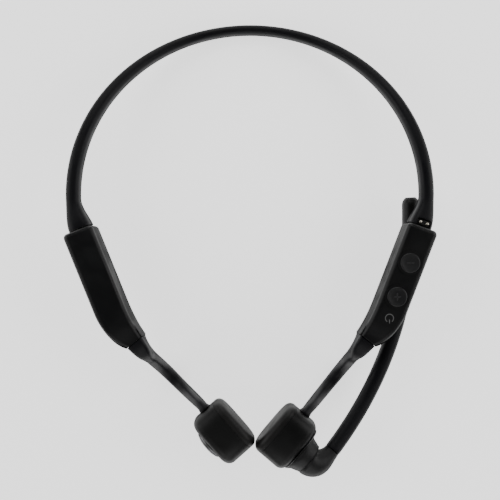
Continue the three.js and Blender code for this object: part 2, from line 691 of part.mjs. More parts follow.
// The motor: a steel yoke cup holds the magnet, and the coil hangs from a spring plate under the pad.
function driver(group, name) {
  const plateTop = PAD_BASE - SPIGOT_DEPTH - GAP;
  const plateLow = plateTop - 0.4;
  const yokeTop = plateLow - GAP;
  const yokeLow = yokeTop - YOKE_DEPTH;
  const yokeInner = YOKE_RADIUS - YOKE_WALL;
  const coilOuter = yokeInner - GAP;
  const coilInner = coilOuter - COIL_WALL;
  const yoke = solid(disc(YOKE_RADIUS, yokeLow, yokeTop))
    .subtract(solid(disc(yokeInner, yokeLow + YOKE_WALL, plateLow)));
  place(group, name + "_yoke", yoke, "steel");
  const magnet = disc(coilInner - GAP, yokeLow + YOKE_WALL + GAP, yokeTop - 0.6);
  place(group, name + "_magnet", magnet, "titanium");
  const coil = solid(disc(coilOuter, yokeLow + YOKE_DEPTH / 2, yokeTop))
    .subtract(solid(disc(coilInner, yokeLow, plateLow + 1)));
  place(group, name + "_voice_coil", coil, "copper");
  const room = TRANSDUCER_WALL + GAP + 0.8;
  const plateSize = [TRANSDUCER_LENGTH / 2 - room, TRANSDUCER_HEIGHT / 2 - room, HOUSING_POWER];
  const plate = stack([[plateLow, ...plateSize], [plateTop, ...plateSize]], HOUSING_SIDES);
  place(group, name + "_spring_plate", plate, "steel");
}

function leftTransducer(parent) {
  const group = transducerGroup(parent, -1);
  const wellRadius = MAIN_BUTTON_RADIUS + MAIN_BEZEL_WIDTH;
  place(group, "left_transducer_housing", transducerHousing(MAIN_BUTTON_RADIUS + GAP, 0), "shell");
  place(group, "left_contact_pad", contactPad(), "pad");
  driver(group, "left");
  const face = HOUSING_BACK - GAP;
  const bezel = solid(disc(wellRadius, face - MAIN_BEZEL_PROUD, face, 0, 0, 32))
    .subtract(solid(disc(MAIN_BUTTON_RADIUS + GAP, face - 2, face + 1, 0, 0, 32)));
  place(group, "multifunction_bezel", bezel, "rim");
  const flange = HOUSING_BACK + TRANSDUCER_WALL + GAP;
  const radius = MAIN_BUTTON_RADIUS;
  const button = solid(stack([
    ...roundedEnd(HOUSING_BACK - MAIN_BUTTON_PROUD, -1, radius, radius, 2, 0.5, 3),
    [flange + 0.1, radius, radius, 2],
  ], 32)).add(solid(disc(radius + 0.8, flange, flange + 0.5, 0, 0, 32)));
  place(group, "multifunction_button", button, "button");
  const switchTop = flange + 0.5 + BUTTON_TRAVEL + RUNNING_GAP;
  place(group, "multifunction_switch", disc(1.6, switchTop, switchTop + 0.6, 0, 0, 16), "steel");
}

// ---------------------------------------------------------------- boom

function boomHub(parent) {
  const group = new THREE.Group();
  group.position.x = -HUB_FORWARD;
  parent.add(group);
  const base = HOUSING_BACK - GAP;
  const skirt = base - HUB_SKIRT_HEIGHT;
  const top = skirt - HUB_HEIGHT;
  const spigot = HUB_TOP_RADIUS - HUB_STEP;
  const hub = solid(stack([
    [top, HUB_TOP_RADIUS, HUB_TOP_RADIUS, 2],
    [skirt, HUB_BASE_RADIUS, HUB_BASE_RADIUS, 2],
    [base, HUB_BASE_RADIUS + HUB_FOOT, HUB_BASE_RADIUS - HUB_FOOT_TRIM, 2.3],
  ], 28))
    .add(solid(disc(spigot, base - 0.2, HOUSING_BACK + TRANSDUCER_WALL, 0, 0, 28)))
    .subtract(solid(disc(PIVOT_RADIUS + RUNNING_GAP, top - 1, 2, 0, 0, 24)))
    .subtract(solid(disc(4, top - 1, top + 1.2, 0, 0, 24)));
  place(group, "boom_hub", hub, "shell");
  const washer = solid(disc(3.7, top + RUNNING_GAP, top + 0.9, 0, 0, 24))
    .subtract(solid(disc(PIVOT_RADIUS + GAP, top - 1, top + 2, 0, 0, 24)));
  place(group, "boom_friction_washer", washer, "steel");
  const headLow = HOUSING_BACK + TRANSDUCER_WALL + GAP;
  const screw = solid(disc(PIVOT_RADIUS, top - PIVOT_REACH, headLow + 0.2, 0, 0, 24))
    .add(solid(disc(PIVOT_RADIUS + 1, headLow, headLow + 0.9, 0, 0, 24)));
  place(group, "boom_pivot_screw", screw, "steel");
}

function rightTransducer(parent) {
  const group = transducerGroup(parent, 1);
  const housing = transducerHousing(HUB_TOP_RADIUS - HUB_STEP + GAP, -HUB_FORWARD);
  place(group, "right_transducer_housing", housing, "shell");
  place(group, "right_contact_pad", contactPad(), "pad");
  driver(group, "right");
  boomHub(group);
}

// The elbow bends from the hub's axis into the arm; the arm passes below the right pod.
function boom(parent) {
  const seam = -HOUSING_BACK + GAP + HUB_SKIRT_HEIGHT + HUB_HEIGHT + GAP;
  const armStart = boomPoint(ARM_OFFSET, ARM_START_BACK, TRANSDUCER_Z - ARM_DROP);
  const bend = new THREE.CubicBezierCurve3(
    boomPoint(seam, -HUB_FORWARD, TRANSDUCER_Z),
    boomPoint(seam + 3.4, -HUB_FORWARD, TRANSDUCER_Z),
    boomPoint(ARM_OFFSET, 2.9, TRANSDUCER_Z),
    armStart,
  );
  const bendSection = (distance, length) => {
    const share = blendDown(distance, length);
    return [
      THREE.MathUtils.lerp(ARM_WIDTH / 2, HUB_TOP_RADIUS, share),
      THREE.MathUtils.lerp(ARM_HEIGHT / 2, HUB_TOP_RADIUS, share),
      2,
    ];
  };
  const bore = disc(PIVOT_RADIUS + RUNNING_GAP, -seam - PIVOT_REACH - GAP, -seam + 1, -HUB_FORWARD, 0, 24);
  const group = transducerGroup(parent, 1);
  group.updateWorldMatrix(true, false);
  const boreSolid = solid(bore).transform(group.matrix.toArray());
  place(parent, "boom_elbow", solid(sweep(bend, 10, 20, bendSection)).subtract(boreSolid), "elbow");

  const underPod = POD_BASE_Z - TIP_HEIGHT / 2 - 2 * GAP;
  const reach = new THREE.CubicBezierCurve3(
    armStart,
    boomPoint(ARM_OFFSET, 36, underPod - 0.4),
    boomPoint(5.4, 66, underPod - 1.4),
    boomPoint(-20, 93, underPod),
  );
  const arm = new Stretch(reach, GAP / reach.getLength(), ARM_SHARE);
  place(parent, "boom_arm", sweep(arm, 18, 14, () => [ARM_WIDTH / 2, ARM_HEIGHT / 2, 2.3]), "skin");
  microphone(parent, new Stretch(reach, ARM_SHARE + GAP / reach.getLength(), 1));
}

// A piece of a longer curve, between two shares of its length.
class Stretch extends THREE.Curve {
  constructor(curve, from, to) {
    super();
    this.curve = curve;
    this.from = from;
    this.to = to;
  }

  getPoint(t, target = new THREE.Vector3()) {
    return this.curve.getPointAt(THREE.MathUtils.lerp(this.from, this.to, t), target);
  }
}

function microphone(parent, curve) {
  const section = (distance, length) => {
    const growth = THREE.MathUtils.smoothstep(distance, 0, length * 0.35);
    const halfWidth = THREE.MathUtils.lerp(ARM_WIDTH, TIP_WIDTH, growth) / 2;
    const halfHeight = THREE.MathUtils.lerp(ARM_HEIGHT, TIP_HEIGHT, growth) / 2;
    const left = length - distance;
    const nose = halfWidth * 0.9;
    const round = left < nose ? Math.sqrt(1 - 0.72 * (1 - left / nose) ** 2) : 1;
    return [halfWidth * round, halfHeight * round, 2.3];
  };
  const end = curve.getPointAt(1);
  const forward = curve.getTangentAt(1);
  const cylinder = (radius, from, to) => {
    const geometry = new THREE.CylinderGeometry(radius, radius, to - from, 16);
    const turn = new THREE.Quaternion().setFromUnitVectors(new THREE.Vector3(0, 1, 0), forward);
    const centre = end.clone().addScaledVector(forward, -(from + to) / 2);
    return geometry.applyQuaternion(turn).translate(...centre);
  };
  const bore = cylinder(MIC_RADIUS + RUNNING_GAP, -1, 4);
  const tip = solid(sweep(curve, 14, 16, section)).subtract(solid(bore));
  place(parent, "mic_tip_housing", tip, "shell");
  place(parent, "mic_mesh", cylinder(MIC_RADIUS, 0.2, 0.6), "mesh");
  place(parent, "mic_capsule", cylinder(MIC_RADIUS, 1, 3.4), "steel");
}

// ---------------------------------------------------------------- the whole headset

const headset = new THREE.Group();
neckband(headset);
leftPod(headset);
place(headset, "left_band_boot", bootBody(-1), "skin");
hook(headset, "left", -1);
leftTransducer(headset);
rightPod(headset);
chargingContacts(headset);
hook(headset, "right", 1);
rightTransducer(headset);
boom(headset);

const outline = new THREE.Box3().setFromObject(headset, true);
const middle = outline.getCenter(new THREE.Vector3());
headset.position.set(-middle.x, -middle.y, -outline.min.z);

export default headset;
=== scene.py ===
import math

import bmesh
import bpy
from mathutils import Matrix, Vector


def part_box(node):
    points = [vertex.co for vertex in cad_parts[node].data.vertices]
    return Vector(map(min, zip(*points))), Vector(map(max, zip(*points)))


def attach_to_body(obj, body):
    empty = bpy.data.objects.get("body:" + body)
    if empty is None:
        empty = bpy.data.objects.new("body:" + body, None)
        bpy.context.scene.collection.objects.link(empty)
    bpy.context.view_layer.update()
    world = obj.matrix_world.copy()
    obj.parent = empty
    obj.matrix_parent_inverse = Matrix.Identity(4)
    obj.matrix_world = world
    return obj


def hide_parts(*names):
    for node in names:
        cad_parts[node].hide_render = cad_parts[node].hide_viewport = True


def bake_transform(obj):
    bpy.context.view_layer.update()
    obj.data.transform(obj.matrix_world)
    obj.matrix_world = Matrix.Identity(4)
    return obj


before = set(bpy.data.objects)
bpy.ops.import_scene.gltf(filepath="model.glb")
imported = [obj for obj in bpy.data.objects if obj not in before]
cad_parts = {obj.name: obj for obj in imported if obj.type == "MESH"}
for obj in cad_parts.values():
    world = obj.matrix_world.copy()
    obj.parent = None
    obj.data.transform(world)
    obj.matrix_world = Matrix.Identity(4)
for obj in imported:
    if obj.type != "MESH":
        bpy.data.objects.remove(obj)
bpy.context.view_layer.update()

# Shapes are laid out in millimetres about the centre of the band's arc, then set in the frame.
MM = 0.001
SMOOTH_ANGLE = math.radians(35)
band_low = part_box("neckband_skin")[0]
ARC_CENTRE = Vector((0, band_low.y, 0))
GAP = 0.3
RUNNING_GAP = 0.1
HAIRLINE = 0.03
BAR_EDGE_STEPS, BAND_STEPS, POD_CORNER_STEPS = 3, 120, 8
PEBBLE_DEPTH = 0.00001
SMUDGE_TONE, SMUDGE_GLOSS, SCRATCH_ROUGHNESS = 0.35, -0.12, 0.1

# Neckband and boots.
BAND_RADIUS = 61.2
BAND_REAR_WIDTH, BAND_REAR_HEIGHT = 3.6, 5.0
BAND_END_WIDTH, BAND_END_HEIGHT = 5.1, 6.4
BAND_WIRE_RADIUS, BAND_WIRE_LIFT = 0.75, -0.95
BAND_CABLE_RADIUS, BAND_CABLE_LIFT = 0.4, 1.2
BOOT_WIDTH, BOOT_HEIGHT, BOOT_INSET = 8.2, 9.6, 0.6

# Pods.
POCKET_HEIGHT, POCKET_ROUNDING = 4.8, 0.4
PIN_ROUNDING = 0.35
POD_REAR = Vector((59.0, -11.8, 12))
POD_ANGLE = math.radians(21.6)
POD_WIDTH, POD_HEIGHT, POD_LENGTH = 10.8, 14.0, 43.0
POD_STRAIGHT, POD_NOSE_INSET, POD_CAVITY = 29.0, 5.8, 33.3
POD_BEND_REACH, POD_NOSE_SHIFT, POD_NOSE_WIDTH = 1.4, 3.6, 6.7
NOSE_SWEEP = math.radians(55)
FRONT_FALL, FRONT_FALL_REACH = 1.2, 8.0
POD_CORNER, POD_END_ROUND, POD_WALL = 1.8, 1.5, 1.2
COVER_THICKNESS = 1.8
POD_MID_Z = POD_REAR.z + POD_HEIGHT / 2
SEAM_EDGE = 0.15

# Keys on the right pod.
KEY_ROUNDING = 0.45
MARK_SINK, MARK_THICKNESS, MARK_ROUNDING = 0.16, 0.3, 0.12
KEY_RADIUS, KEY_PROUD = 3.4, 0.7
KEY_PLACES = {"volume_minus": -13.2, "volume_plus": -25.5}
POWER_MARK_Y = -33.2

# Ear hooks.
HOOK_APEX_SHARE, HOOK_BOW = 0.55, 2.6
HOOK_APEX_SIZE, HOOK_END_WIDTH = 4.6, 3.5
HOOK_FLARE, HOOK_DROP = 10, 12
HOOK_LEAVE, HOOK_LEVEL, HOOK_ARRIVE = 8.5, 9.94, 4
HOOK_TURN = math.radians(17)
HOOK_WIRE_RADIUS, HOOK_WIRE_ANCHOR = 0.7, 6.0

# Transducers.
DRUM = Vector((11.8, -84.1, 17))
LEFT_SET = Vector((2.15, 1.8, 0))
TOE = math.radians(41)
DRUM_LENGTH, DRUM_HEIGHT, DRUM_DEPTH, DRUM_WALL = 20.2, 15.0, 13.5, 1.3
DRUM_POWER = 3.2
OUTER_ROUNDING, PAD_THICKNESS, PAD_ROUNDING = 3.0, 3.2, 2.3
DRUM_BACK = -DRUM_DEPTH / 2
PAD_BASE = DRUM_DEPTH / 2 - PAD_THICKNESS
MAIN_KEY_RADIUS, MAIN_KEY_PROUD = 4.4, 1.3
BEZEL_WIDTH, BEZEL_PROUD = 0.9, 0.6

# Boom.
HUB_FORWARD, HUB_SKIRT, HUB_HEIGHT = 1.0, 1.3, 3.0
HUB_BASE_RADIUS, HUB_TOP_RADIUS, HUB_STEP = 6.6, 5.7, 1.4
HUB_FOOT, HUB_FOOT_TRIM = 1.0, 0.4
PIVOT_RADIUS, PIVOT_REACH = 1.5, 3.0
ARM_OFFSET, ARM_WIDTH, ARM_HEIGHT, ARM_SHARE = 15.8, 5.4, 5.2, 0.83
TIP_WIDTH, TIP_HEIGHT, MIC_RADIUS = 6.2, 6.0, 1.3


# ---------------------------------------------------------------- small helpers

def mix(a, b, share):
    return a + (b - a) * share


def smooth(value, reach):
    """1 at value 0, down to 0 at reach, with no corner at either end."""
    t = min(max(value / reach, 0), 1)
    return 1 - t * t * (3 - 2 * t)


def in_frame(point):
    return point * MM + ARC_CENTRE


def pod_rearward(sign):
    return Vector((sign * math.sin(POD_ANGLE), math.cos(POD_ANGLE), 0))


def pod_rear(sign):
    return Vector((sign * POD_REAR.x, POD_REAR.y, POD_MID_Z))


def pod_outward(sign):
    return Vector((sign * math.cos(POD_ANGLE), -math.sin(POD_ANGLE), 0))


def pod_front(sign):
    return pod_rear(sign) - POD_LENGTH * pod_rearward(sign) - POD_NOSE_SHIFT * pod_outward(sign)


def hook_forward(sign):
    return -math.cos(HOOK_TURN) * pod_rearward(sign) - math.sin(HOOK_TURN) * pod_outward(sign)


def pod_matrix(sign):
    """A pod's own frame: its rear face lies at y = 0 and it runs forward along -Y."""
    turn = Matrix.Rotation(-sign * POD_ANGLE, 4, "Z")
    return Matrix.Translation(Vector((sign * POD_REAR.x, POD_REAR.y, POD_REAR.z))) @ turn


def drum_centre(sign):
    centre = Vector((sign * DRUM.x, DRUM.y, DRUM.z))
    return centre + LEFT_SET if sign < 0 else centre


def drum_outward(sign):
    return Vector((sign * math.cos(TOE), -math.sin(TOE), 0))


def drum_rearward(sign):
    return Vector((sign * math.sin(TOE), math.cos(TOE), 0))


def drum_matrix(sign):
    """A transducer's own frame: +Z faces the cheekbone and +X points back to the hook."""
    facing = -drum_outward(sign)
    rearward = drum_rearward(sign)
    turn = Matrix((rearward, facing.cross(rearward), facing)).transposed().to_4x4()
    return Matrix.Translation(drum_centre(sign)) @ turn


def bezier(a, b, c, d, steps=64):
    points = []
    for i in range(steps + 1):
        t = i / steps
        s = 1 - t
        points.append(s ** 3 * a + 3 * s * s * t * b + 3 * s * t * t * c + t ** 3 * d)
    return points


def distances(points):
    """How far along a path each of its points lies."""
    run = [0.0]
    for a, b in zip(points, points[1:]):
        run.append(run[-1] + (b - a).length)
    return run


def portion(points, low, high, steps=64):
    """The part of a path between two shares of its length, in even steps."""
    run = distances(points)
    found = []
    k = 0
    for i in range(steps + 1):
        target = run[-1] * mix(low, high, i / steps)
        while k < len(points) - 2 and run[k + 1] < target:
            k += 1
        share = (target - run[k]) / max(run[k + 1] - run[k], 1e-9)
        found.append(points[k].lerp(points[k + 1], min(max(share, 0), 1)))
    return found


# ---------------------------------------------------------------- node helpers

def node(tree, kind, settings=None, **inputs):
    """A node with its settings; each input is a value, or an output socket to wire in."""
    made = tree.nodes.new(kind)
    for key, value in (settings or {}).items():
        setattr(made, key, value)
    for name, value in inputs.items():
        label = name.replace("_", " ")
        socket = next(s for s in made.inputs if s.name == label and s.enabled)
        if isinstance(value, bpy.types.NodeSocket):
            tree.links.new(value, socket)
        else:
            socket.default_value = value
    return made


def maths(tree, operation, *values):
    made = tree.nodes.new("ShaderNodeMath")
    made.operation = operation
    for socket, value in zip(made.inputs, values):
        if isinstance(value, bpy.types.NodeSocket):
            tree.links.new(value, socket)
        else:
            socket.default_value = value
    return made.outputs[0]


def vector_maths(tree, operation, first, second=None, scale=None):
    made = tree.nodes.new("ShaderNodeVectorMath")
    made.operation = operation
    tree.links.new(first, made.inputs[0])
    if isinstance(second, bpy.types.NodeSocket):
        tree.links.new(second, made.inputs[1])
    elif second is not None:
        made.inputs[1].default_value = second
    if scale is not None:
        tree.links.new(scale, made.inputs["Scale"])
    return made.outputs[0]


def new_tree(name, kind, inputs, outputs):
    """An empty node tree with its named inputs and outputs, and its two end nodes."""
    tree = bpy.data.node_groups.new(name, kind)
    for label, socket, value in inputs:
        made = tree.interface.new_socket(label, in_out="INPUT", socket_type=socket)
        if value is not None:
            made.default_value = value
    for label, socket in outputs:
        tree.interface.new_socket(label, in_out="OUTPUT", socket_type=socket)
    start = tree.nodes.new("NodeGroupInput")
    end = tree.nodes.new("NodeGroupOutput")
    return tree, start.outputs, end.inputs


# ---------------------------------------------------------------- geometry node trees

def finish_tree(tree, geometry, material, out):
    """The last steps of every tree: real geometry, smooth shading, one material."""
    real = node(tree, "GeometryNodeRealizeInstances", Geometry=geometry)
    shaded = node(tree, "GeometryNodeSetShadeSmooth", Geometry=real.outputs[0])
    painted = node(tree, "GeometryNodeSetMaterial", Geometry=shaded.outputs[0], Material=material)
    tree.links.new(painted.outputs[0], out["Geometry"])


def skin_tree():
    """A skin along a path whose points carry half width, half height, power and offset."""
    tree, given, out = new_tree("skin_along_path", "GeometryNodeTree", [
        ("Geometry", "NodeSocketGeometry", None),
        ("Steps", "NodeSocketInt", 96),
        ("Sides", "NodeSocketInt", 48),
        ("Crowding", "NodeSocketFloat", 0.0),
        ("Material", "NodeSocketMaterial", None),
    ], [("Geometry", "NodeSocketGeometry")])
    curve = node(tree, "GeometryNodeMeshToCurve", Mesh=given["Geometry"]).outputs[0]
    rows = maths(tree, "ADD", given["Steps"], 3)
    columns = maths(tree, "ADD", given["Sides"], 1)
    grid = node(tree, "GeometryNodeMeshGrid", Size_X=1.0, Size_Y=1.0, Vertices_X=rows,
                Vertices_Y=columns)
    at = node(tree, "ShaderNodeSeparateXYZ",
              Vector=node(tree, "GeometryNodeInputPosition").outputs[0]).outputs
    last_row = maths(tree, "ADD", given["Steps"], 2)
    row = maths(tree, "MULTIPLY", maths(tree, "ADD", at["X"], 0.5), last_row)
    even = maths(tree, "DIVIDE", maths(tree, "SUBTRACT", row, 1), given["Steps"])
    share = node(tree, "ShaderNodeClamp", Value=even).outputs[0]
    wave = maths(tree, "SINE", maths(tree, "MULTIPLY", share, 2 * math.pi))
    pull = maths(tree, "DIVIDE", maths(tree, "MULTIPLY", wave, given["Crowding"]), 2 * math.pi)
    share = maths(tree, "SUBTRACT", share, pull)
    half = maths(tree, "DIVIDE", last_row, 2)
    from_middle = maths(tree, "ABSOLUTE", maths(tree, "SUBTRACT", row, half))
    closed = maths(tree, "GREATER_THAN", from_middle, maths(tree, "SUBTRACT", half, 0.5))
    open_share = maths(tree, "SUBTRACT", 1, closed)

    def sample(label):
        named = node(tree, "GeometryNodeInputNamedAttribute", {"data_type": "FLOAT_VECTOR"},
                     Name=label)
        found = node(tree, "GeometryNodeSampleCurve",
                     {"mode": "FACTOR", "data_type": "FLOAT_VECTOR"},
                     Curves=curve, Value=named.outputs[0], Factor=share)
        parts = node(tree, "ShaderNodeSeparateXYZ", Vector=found.outputs[0]).outputs
        return found.outputs, parts

    place, size = sample("section")
    _, offset = sample("offset")
    upright = node(tree, "ShaderNodeCombineXYZ", Z=1.0).outputs[0]
    side = vector_maths(tree, "NORMALIZE", vector_maths(tree, "CROSS_PRODUCT", upright,
                                                        place["Tangent"]))
    up = vector_maths(tree, "CROSS_PRODUCT", place["Tangent"], side)
    column = maths(tree, "ROUND", maths(tree, "MULTIPLY", maths(tree, "ADD", at["Y"], 0.5),
                                        given["Sides"]))
    turn = maths(tree, "DIVIDE", maths(tree, "MODULO", column, given["Sides"]), given["Sides"])
    angle = maths(tree, "MULTIPLY", turn, 2 * math.pi)
    exponent = maths(tree, "DIVIDE", 2, size["Z"])

    def rounded(trig, half_size, shift):
        wave = maths(tree, trig, angle)
        power = maths(tree, "POWER", maths(tree, "ABSOLUTE", wave), exponent)
        signed = maths(tree, "MULTIPLY", maths(tree, "SIGN", wave), power)
        reach = maths(tree, "MULTIPLY", maths(tree, "MULTIPLY", signed, half_size), open_share)
        return maths(tree, "ADD", reach, shift)

    across = vector_maths(tree, "SCALE", side, scale=rounded("COSINE", size["X"], offset["X"]))
    above = vector_maths(tree, "SCALE", up, scale=rounded("SINE", size["Y"], offset["Y"]))
    moved = vector_maths(tree, "ADD", vector_maths(tree, "ADD", place["Position"], across), above)
    shaped = node(tree, "GeometryNodeSetPosition", Geometry=grid.outputs[0], Position=moved)
    merged = node(tree, "GeometryNodeMergeByDistance", Geometry=shaped.outputs[0], Distance=1e-6)
    finish_tree(tree, merged.outputs[0], given["Material"], out)
    return tree


def woven_tree():
    """A round piece of woven wire: two sets of waved wires, one over the other."""
    tree, given, out = new_tree("woven_disc", "GeometryNodeTree", [
        ("Geometry", "NodeSocketGeometry", None),
        ("Radius", "NodeSocketFloat", 0.0012),
        ("Pitch", "NodeSocketFloat", 0.00022),
        ("Wire Radius", "NodeSocketFloat", 0.00004),
        ("Material", "NodeSocketMaterial", None),
    ], [("Geometry", "NodeSocketGeometry")])
    least = maths(tree, "MULTIPLY", given["Radius"], -1)
    start = node(tree, "ShaderNodeCombineXYZ", X=least).outputs[0]
    end = node(tree, "ShaderNodeCombineXYZ", X=given["Radius"]).outputs[0]
    line = node(tree, "GeometryNodeCurvePrimitiveLine", Start=start, End=end)
    fine = node(tree, "GeometryNodeResampleCurve", Curve=line.outputs[0], Count=65)
    each_side = maths(tree, "FLOOR", maths(tree, "DIVIDE", given["Radius"], given["Pitch"]))
    count = maths(tree, "ADD", maths(tree, "MULTIPLY", each_side, 2), 1)
    first = maths(tree, "MULTIPLY", maths(tree, "MULTIPLY", each_side, given["Pitch"]), -1)
    rows = node(tree, "GeometryNodeMeshLine", Count=count,
                Start_Location=node(tree, "ShaderNodeCombineXYZ", Y=first).outputs[0],
                Offset=node(tree, "ShaderNodeCombineXYZ", Y=given["Pitch"]).outputs[0])
    laid = node(tree, "GeometryNodeInstanceOnPoints", Points=rows.outputs[0],
                Instance=fine.outputs[0])
    real = node(tree, "GeometryNodeRealizeInstances", Geometry=laid.outputs[0])
    spot = node(tree, "GeometryNodeInputPosition").outputs[0]
    at = node(tree, "ShaderNodeSeparateXYZ", Vector=spot).outputs
    steps = maths(tree, "DIVIDE", maths(tree, "ADD", at["X"], at["Y"]), given["Pitch"])
    wave = maths(tree, "COSINE", maths(tree, "MULTIPLY", steps, math.pi))
    rise = node(tree, "ShaderNodeCombineXYZ", Z=maths(tree, "MULTIPLY", wave, given["Wire Radius"]))
    waved = node(tree, "GeometryNodeSetPosition", Geometry=real.outputs[0], Offset=rise.outputs[0])
    crossed = node(tree, "GeometryNodeTransform", Geometry=waved.outputs[0],
                   Rotation=(0, 0, math.pi / 2), Scale=(1, 1, -1))
    both = tree.nodes.new("GeometryNodeJoinGeometry")
    tree.links.new(waved.outputs[0], both.inputs[0])
    tree.links.new(crossed.outputs[0], both.inputs[0])
    outside = maths(tree, "GREATER_THAN", vector_length(tree, spot), given["Radius"])
    kept = node(tree, "GeometryNodeDeleteGeometry", {"domain": "POINT"},
                Geometry=both.outputs[0], Selection=outside)
    ring = node(tree, "GeometryNodeCurvePrimitiveCircle", Resolution=6, Radius=given["Wire Radius"])
    wires = node(tree, "GeometryNodeCurveToMesh", Curve=kept.outputs[0],
                 Profile_Curve=ring.outputs[0], Fill_Caps=True)
    finish_tree(tree, wires.outputs[0], given["Material"], out)
    return tree


def vector_length(tree, vector):
    made = tree.nodes.new("ShaderNodeVectorMath")
    made.operation = "LENGTH"
    tree.links.new(vector, made.inputs[0])
    return made.outputs["Value"]


SKIN_TREE = skin_tree()
WOVEN_TREE = woven_tree()


# ---------------------------------------------------------------- mesh helpers

def new_object(name, mesh):
    made = bpy.data.objects.new(name, mesh)
    bpy.context.scene.collection.objects.link(made)
    return made


def outward_normals(mesh):
    work = bmesh.new()
    work.from_mesh(mesh)
    bmesh.ops.recalc_face_normals(work, faces=work.faces)
    work.to_mesh(mesh)
    work.free()


def settle(piece):
    """Bakes a piece's modifiers into its mesh and takes them off."""
    graph = bpy.context.evaluated_depsgraph_get()
    mesh = bpy.data.meshes.new_from_object(piece.evaluated_get(graph))
    piece.modifiers.clear()
    piece.data = mesh
    mesh.name = piece.name
    return mesh


def finish_mesh(piece, look, weighted=False):
    """Outward faces, crisp edges where they are sharp, and one material."""
    mesh = piece.data
    outward_normals(mesh)
    mesh.shade_smooth()
    mesh.set_sharp_from_angle(angle=SMOOTH_ANGLE)
    mesh.materials.clear()
    mesh.materials.append(look)
    if weighted:
        modifier = piece.modifiers.new("even_shading", "WEIGHTED_NORMAL")
        modifier.keep_sharp = True
        settle(piece)
    return piece


def run_tree(piece, tree, values):
    """Runs a node tree on a piece once and keeps the mesh that it makes."""
    modifier = piece.modifiers.new(tree.name, "NODES")
    modifier.node_group = tree
    for item in tree.interface.items_tree:
        if item.item_type == "SOCKET" and item.in_out == "INPUT" and item.name in values:
            modifier[item.identifier] = values[item.name]
    settle(piece)


def swept(name, points, section, look, steps=96, sides=48, crowding=0.0):
    """A skin along a path; section(distance, length) gives its half width, half height, power,
    shift and lift."""
    mesh = bpy.data.meshes.new(name)
    mesh.from_pydata([in_frame(p) for p in points], [(i, i + 1) for i in range(len(points) - 1)],
                     [])
    run = distances(points)
    size = mesh.attributes.new("section", "FLOAT_VECTOR", "POINT")
    offset = mesh.attributes.new("offset", "FLOAT_VECTOR", "POINT")
    for i, distance in enumerate(run):
        wide, high, power, shift, lift = section(distance, run[-1])
        size.data[i].vector = (wide * MM, high * MM, power)
        offset.data[i].vector = (shift * MM, lift * MM, 0)
    piece = new_object(name, mesh)
    run_tree(piece, SKIN_TREE, {"Steps": steps, "Sides": sides, "Crowding": crowding,
                                "Material": look})
    return finish_mesh(piece, look)


def skinned_rings(name, rings, look, loop=False, weighted=False, place=Matrix.Identity(4)):
    """A closed surface through rings of points; one point makes a pole, and loop joins the last
    ring to the first."""
    work = bmesh.new()
    made = [[work.verts.new(in_frame(place @ p)) for p in ring] for ring in rings]
    pairs = list(zip(made, made[1:]))
    if loop:
        pairs.append((made[-1], made[0]))
    for a, b in pairs:
        count = max(len(a), len(b))
        for k in range(count):
            n = (k + 1) % count
            if len(a) == 1:
                work.faces.new((a[0], b[k], b[n]))
            elif len(b) == 1:
                work.faces.new((a[k], a[n], b[0]))
            else:
                work.faces.new((a[k], a[n], b[n], b[k]))
    if not loop:
        for ring in (made[0], made[-1]):
            if len(ring) > 1:
                work.faces.new(ring)
    mesh = bpy.data.meshes.new(name)
    work.to_mesh(mesh)
    work.free()
    return finish_mesh(new_object(name, mesh), look, weighted)


def oval(z, half_width, half_height=None, power=2.0, centre=0.0, sides=96):
    """One ring at height z; a half width of 0 makes a pole."""
    if half_width == 0:
        return [Vector((centre, 0, z))]
    half_height = half_width if half_height is None else half_height
    points = []
    for k in range(sides):
        cos = math.cos(2 * math.pi * k / sides)
        sin = math.sin(2 * math.pi * k / sides)
        x = half_width * math.copysign(abs(cos) ** (2 / power), cos)
        y = half_height * math.copysign(abs(sin) ** (2 / power), sin)
        points.append(Vector((centre + x, y, z)))
    return points


def round_edge(z, direction, half_width, half_height, power, radius, steps=8, sides=96):
    """Rings of a quarter-round edge that ends at height z and turns in by radius."""
    rings = []
    for i in range(steps + 1):
        angle = math.pi / 2 * i / steps
        inset = radius * (1 - math.cos(angle))
        level = z + direction * radius * (math.sin(angle) - 1)
        rings.append(oval(level, half_width - inset, half_height - inset, power, sides=sides))
    return rings


def cut(piece, look, *cutters, weighted=False):
    """Takes the cutters out of a piece."""
    for cutter in cutters:
        modifier = piece.modifiers.new("cut", "BOOLEAN")
        modifier.operation = "DIFFERENCE"
        modifier.solver = "EXACT"
        modifier.object = cutter
    settle(piece)
    for cutter in cutters:
        bpy.data.objects.remove(cutter)
    return finish_mesh(piece, look, weighted)


def rounded_bar(name, size, radius, look, place):
    """A box with rounded edges, centred in the place given."""
    work = bmesh.new()
    bmesh.ops.create_cube(work, size=1)
    bmesh.ops.scale(work, vec=Vector(size), verts=work.verts)
    bmesh.ops.bevel(work, geom=work.edges[:], offset=radius, segments=BAR_EDGE_STEPS, profile=0.5,
                    affect="EDGES")
    bmesh.ops.transform(work, matrix=place, verts=work.verts)
    bmesh.ops.scale(work, vec=(MM, MM, MM), verts=work.verts)
    bmesh.ops.translate(work, vec=ARC_CENTRE, verts=work.verts)
    mesh = bpy.data.meshes.new(name)
    work.to_mesh(mesh)
    work.free()
    return finish_mesh(new_object(name, mesh), look, weighted=True)


def joined(name, pieces, look):
    """Several separate bodies kept in one mesh."""
    work = bmesh.new()
    for piece in pieces:
        work.from_mesh(piece.data)
        bpy.data.objects.remove(piece)
    mesh = bpy.data.meshes.new(name)
    work.to_mesh(mesh)
    work.free()
    return finish_mesh(new_object(name, mesh), look)


# ---------------------------------------------------------------- shared shader groups

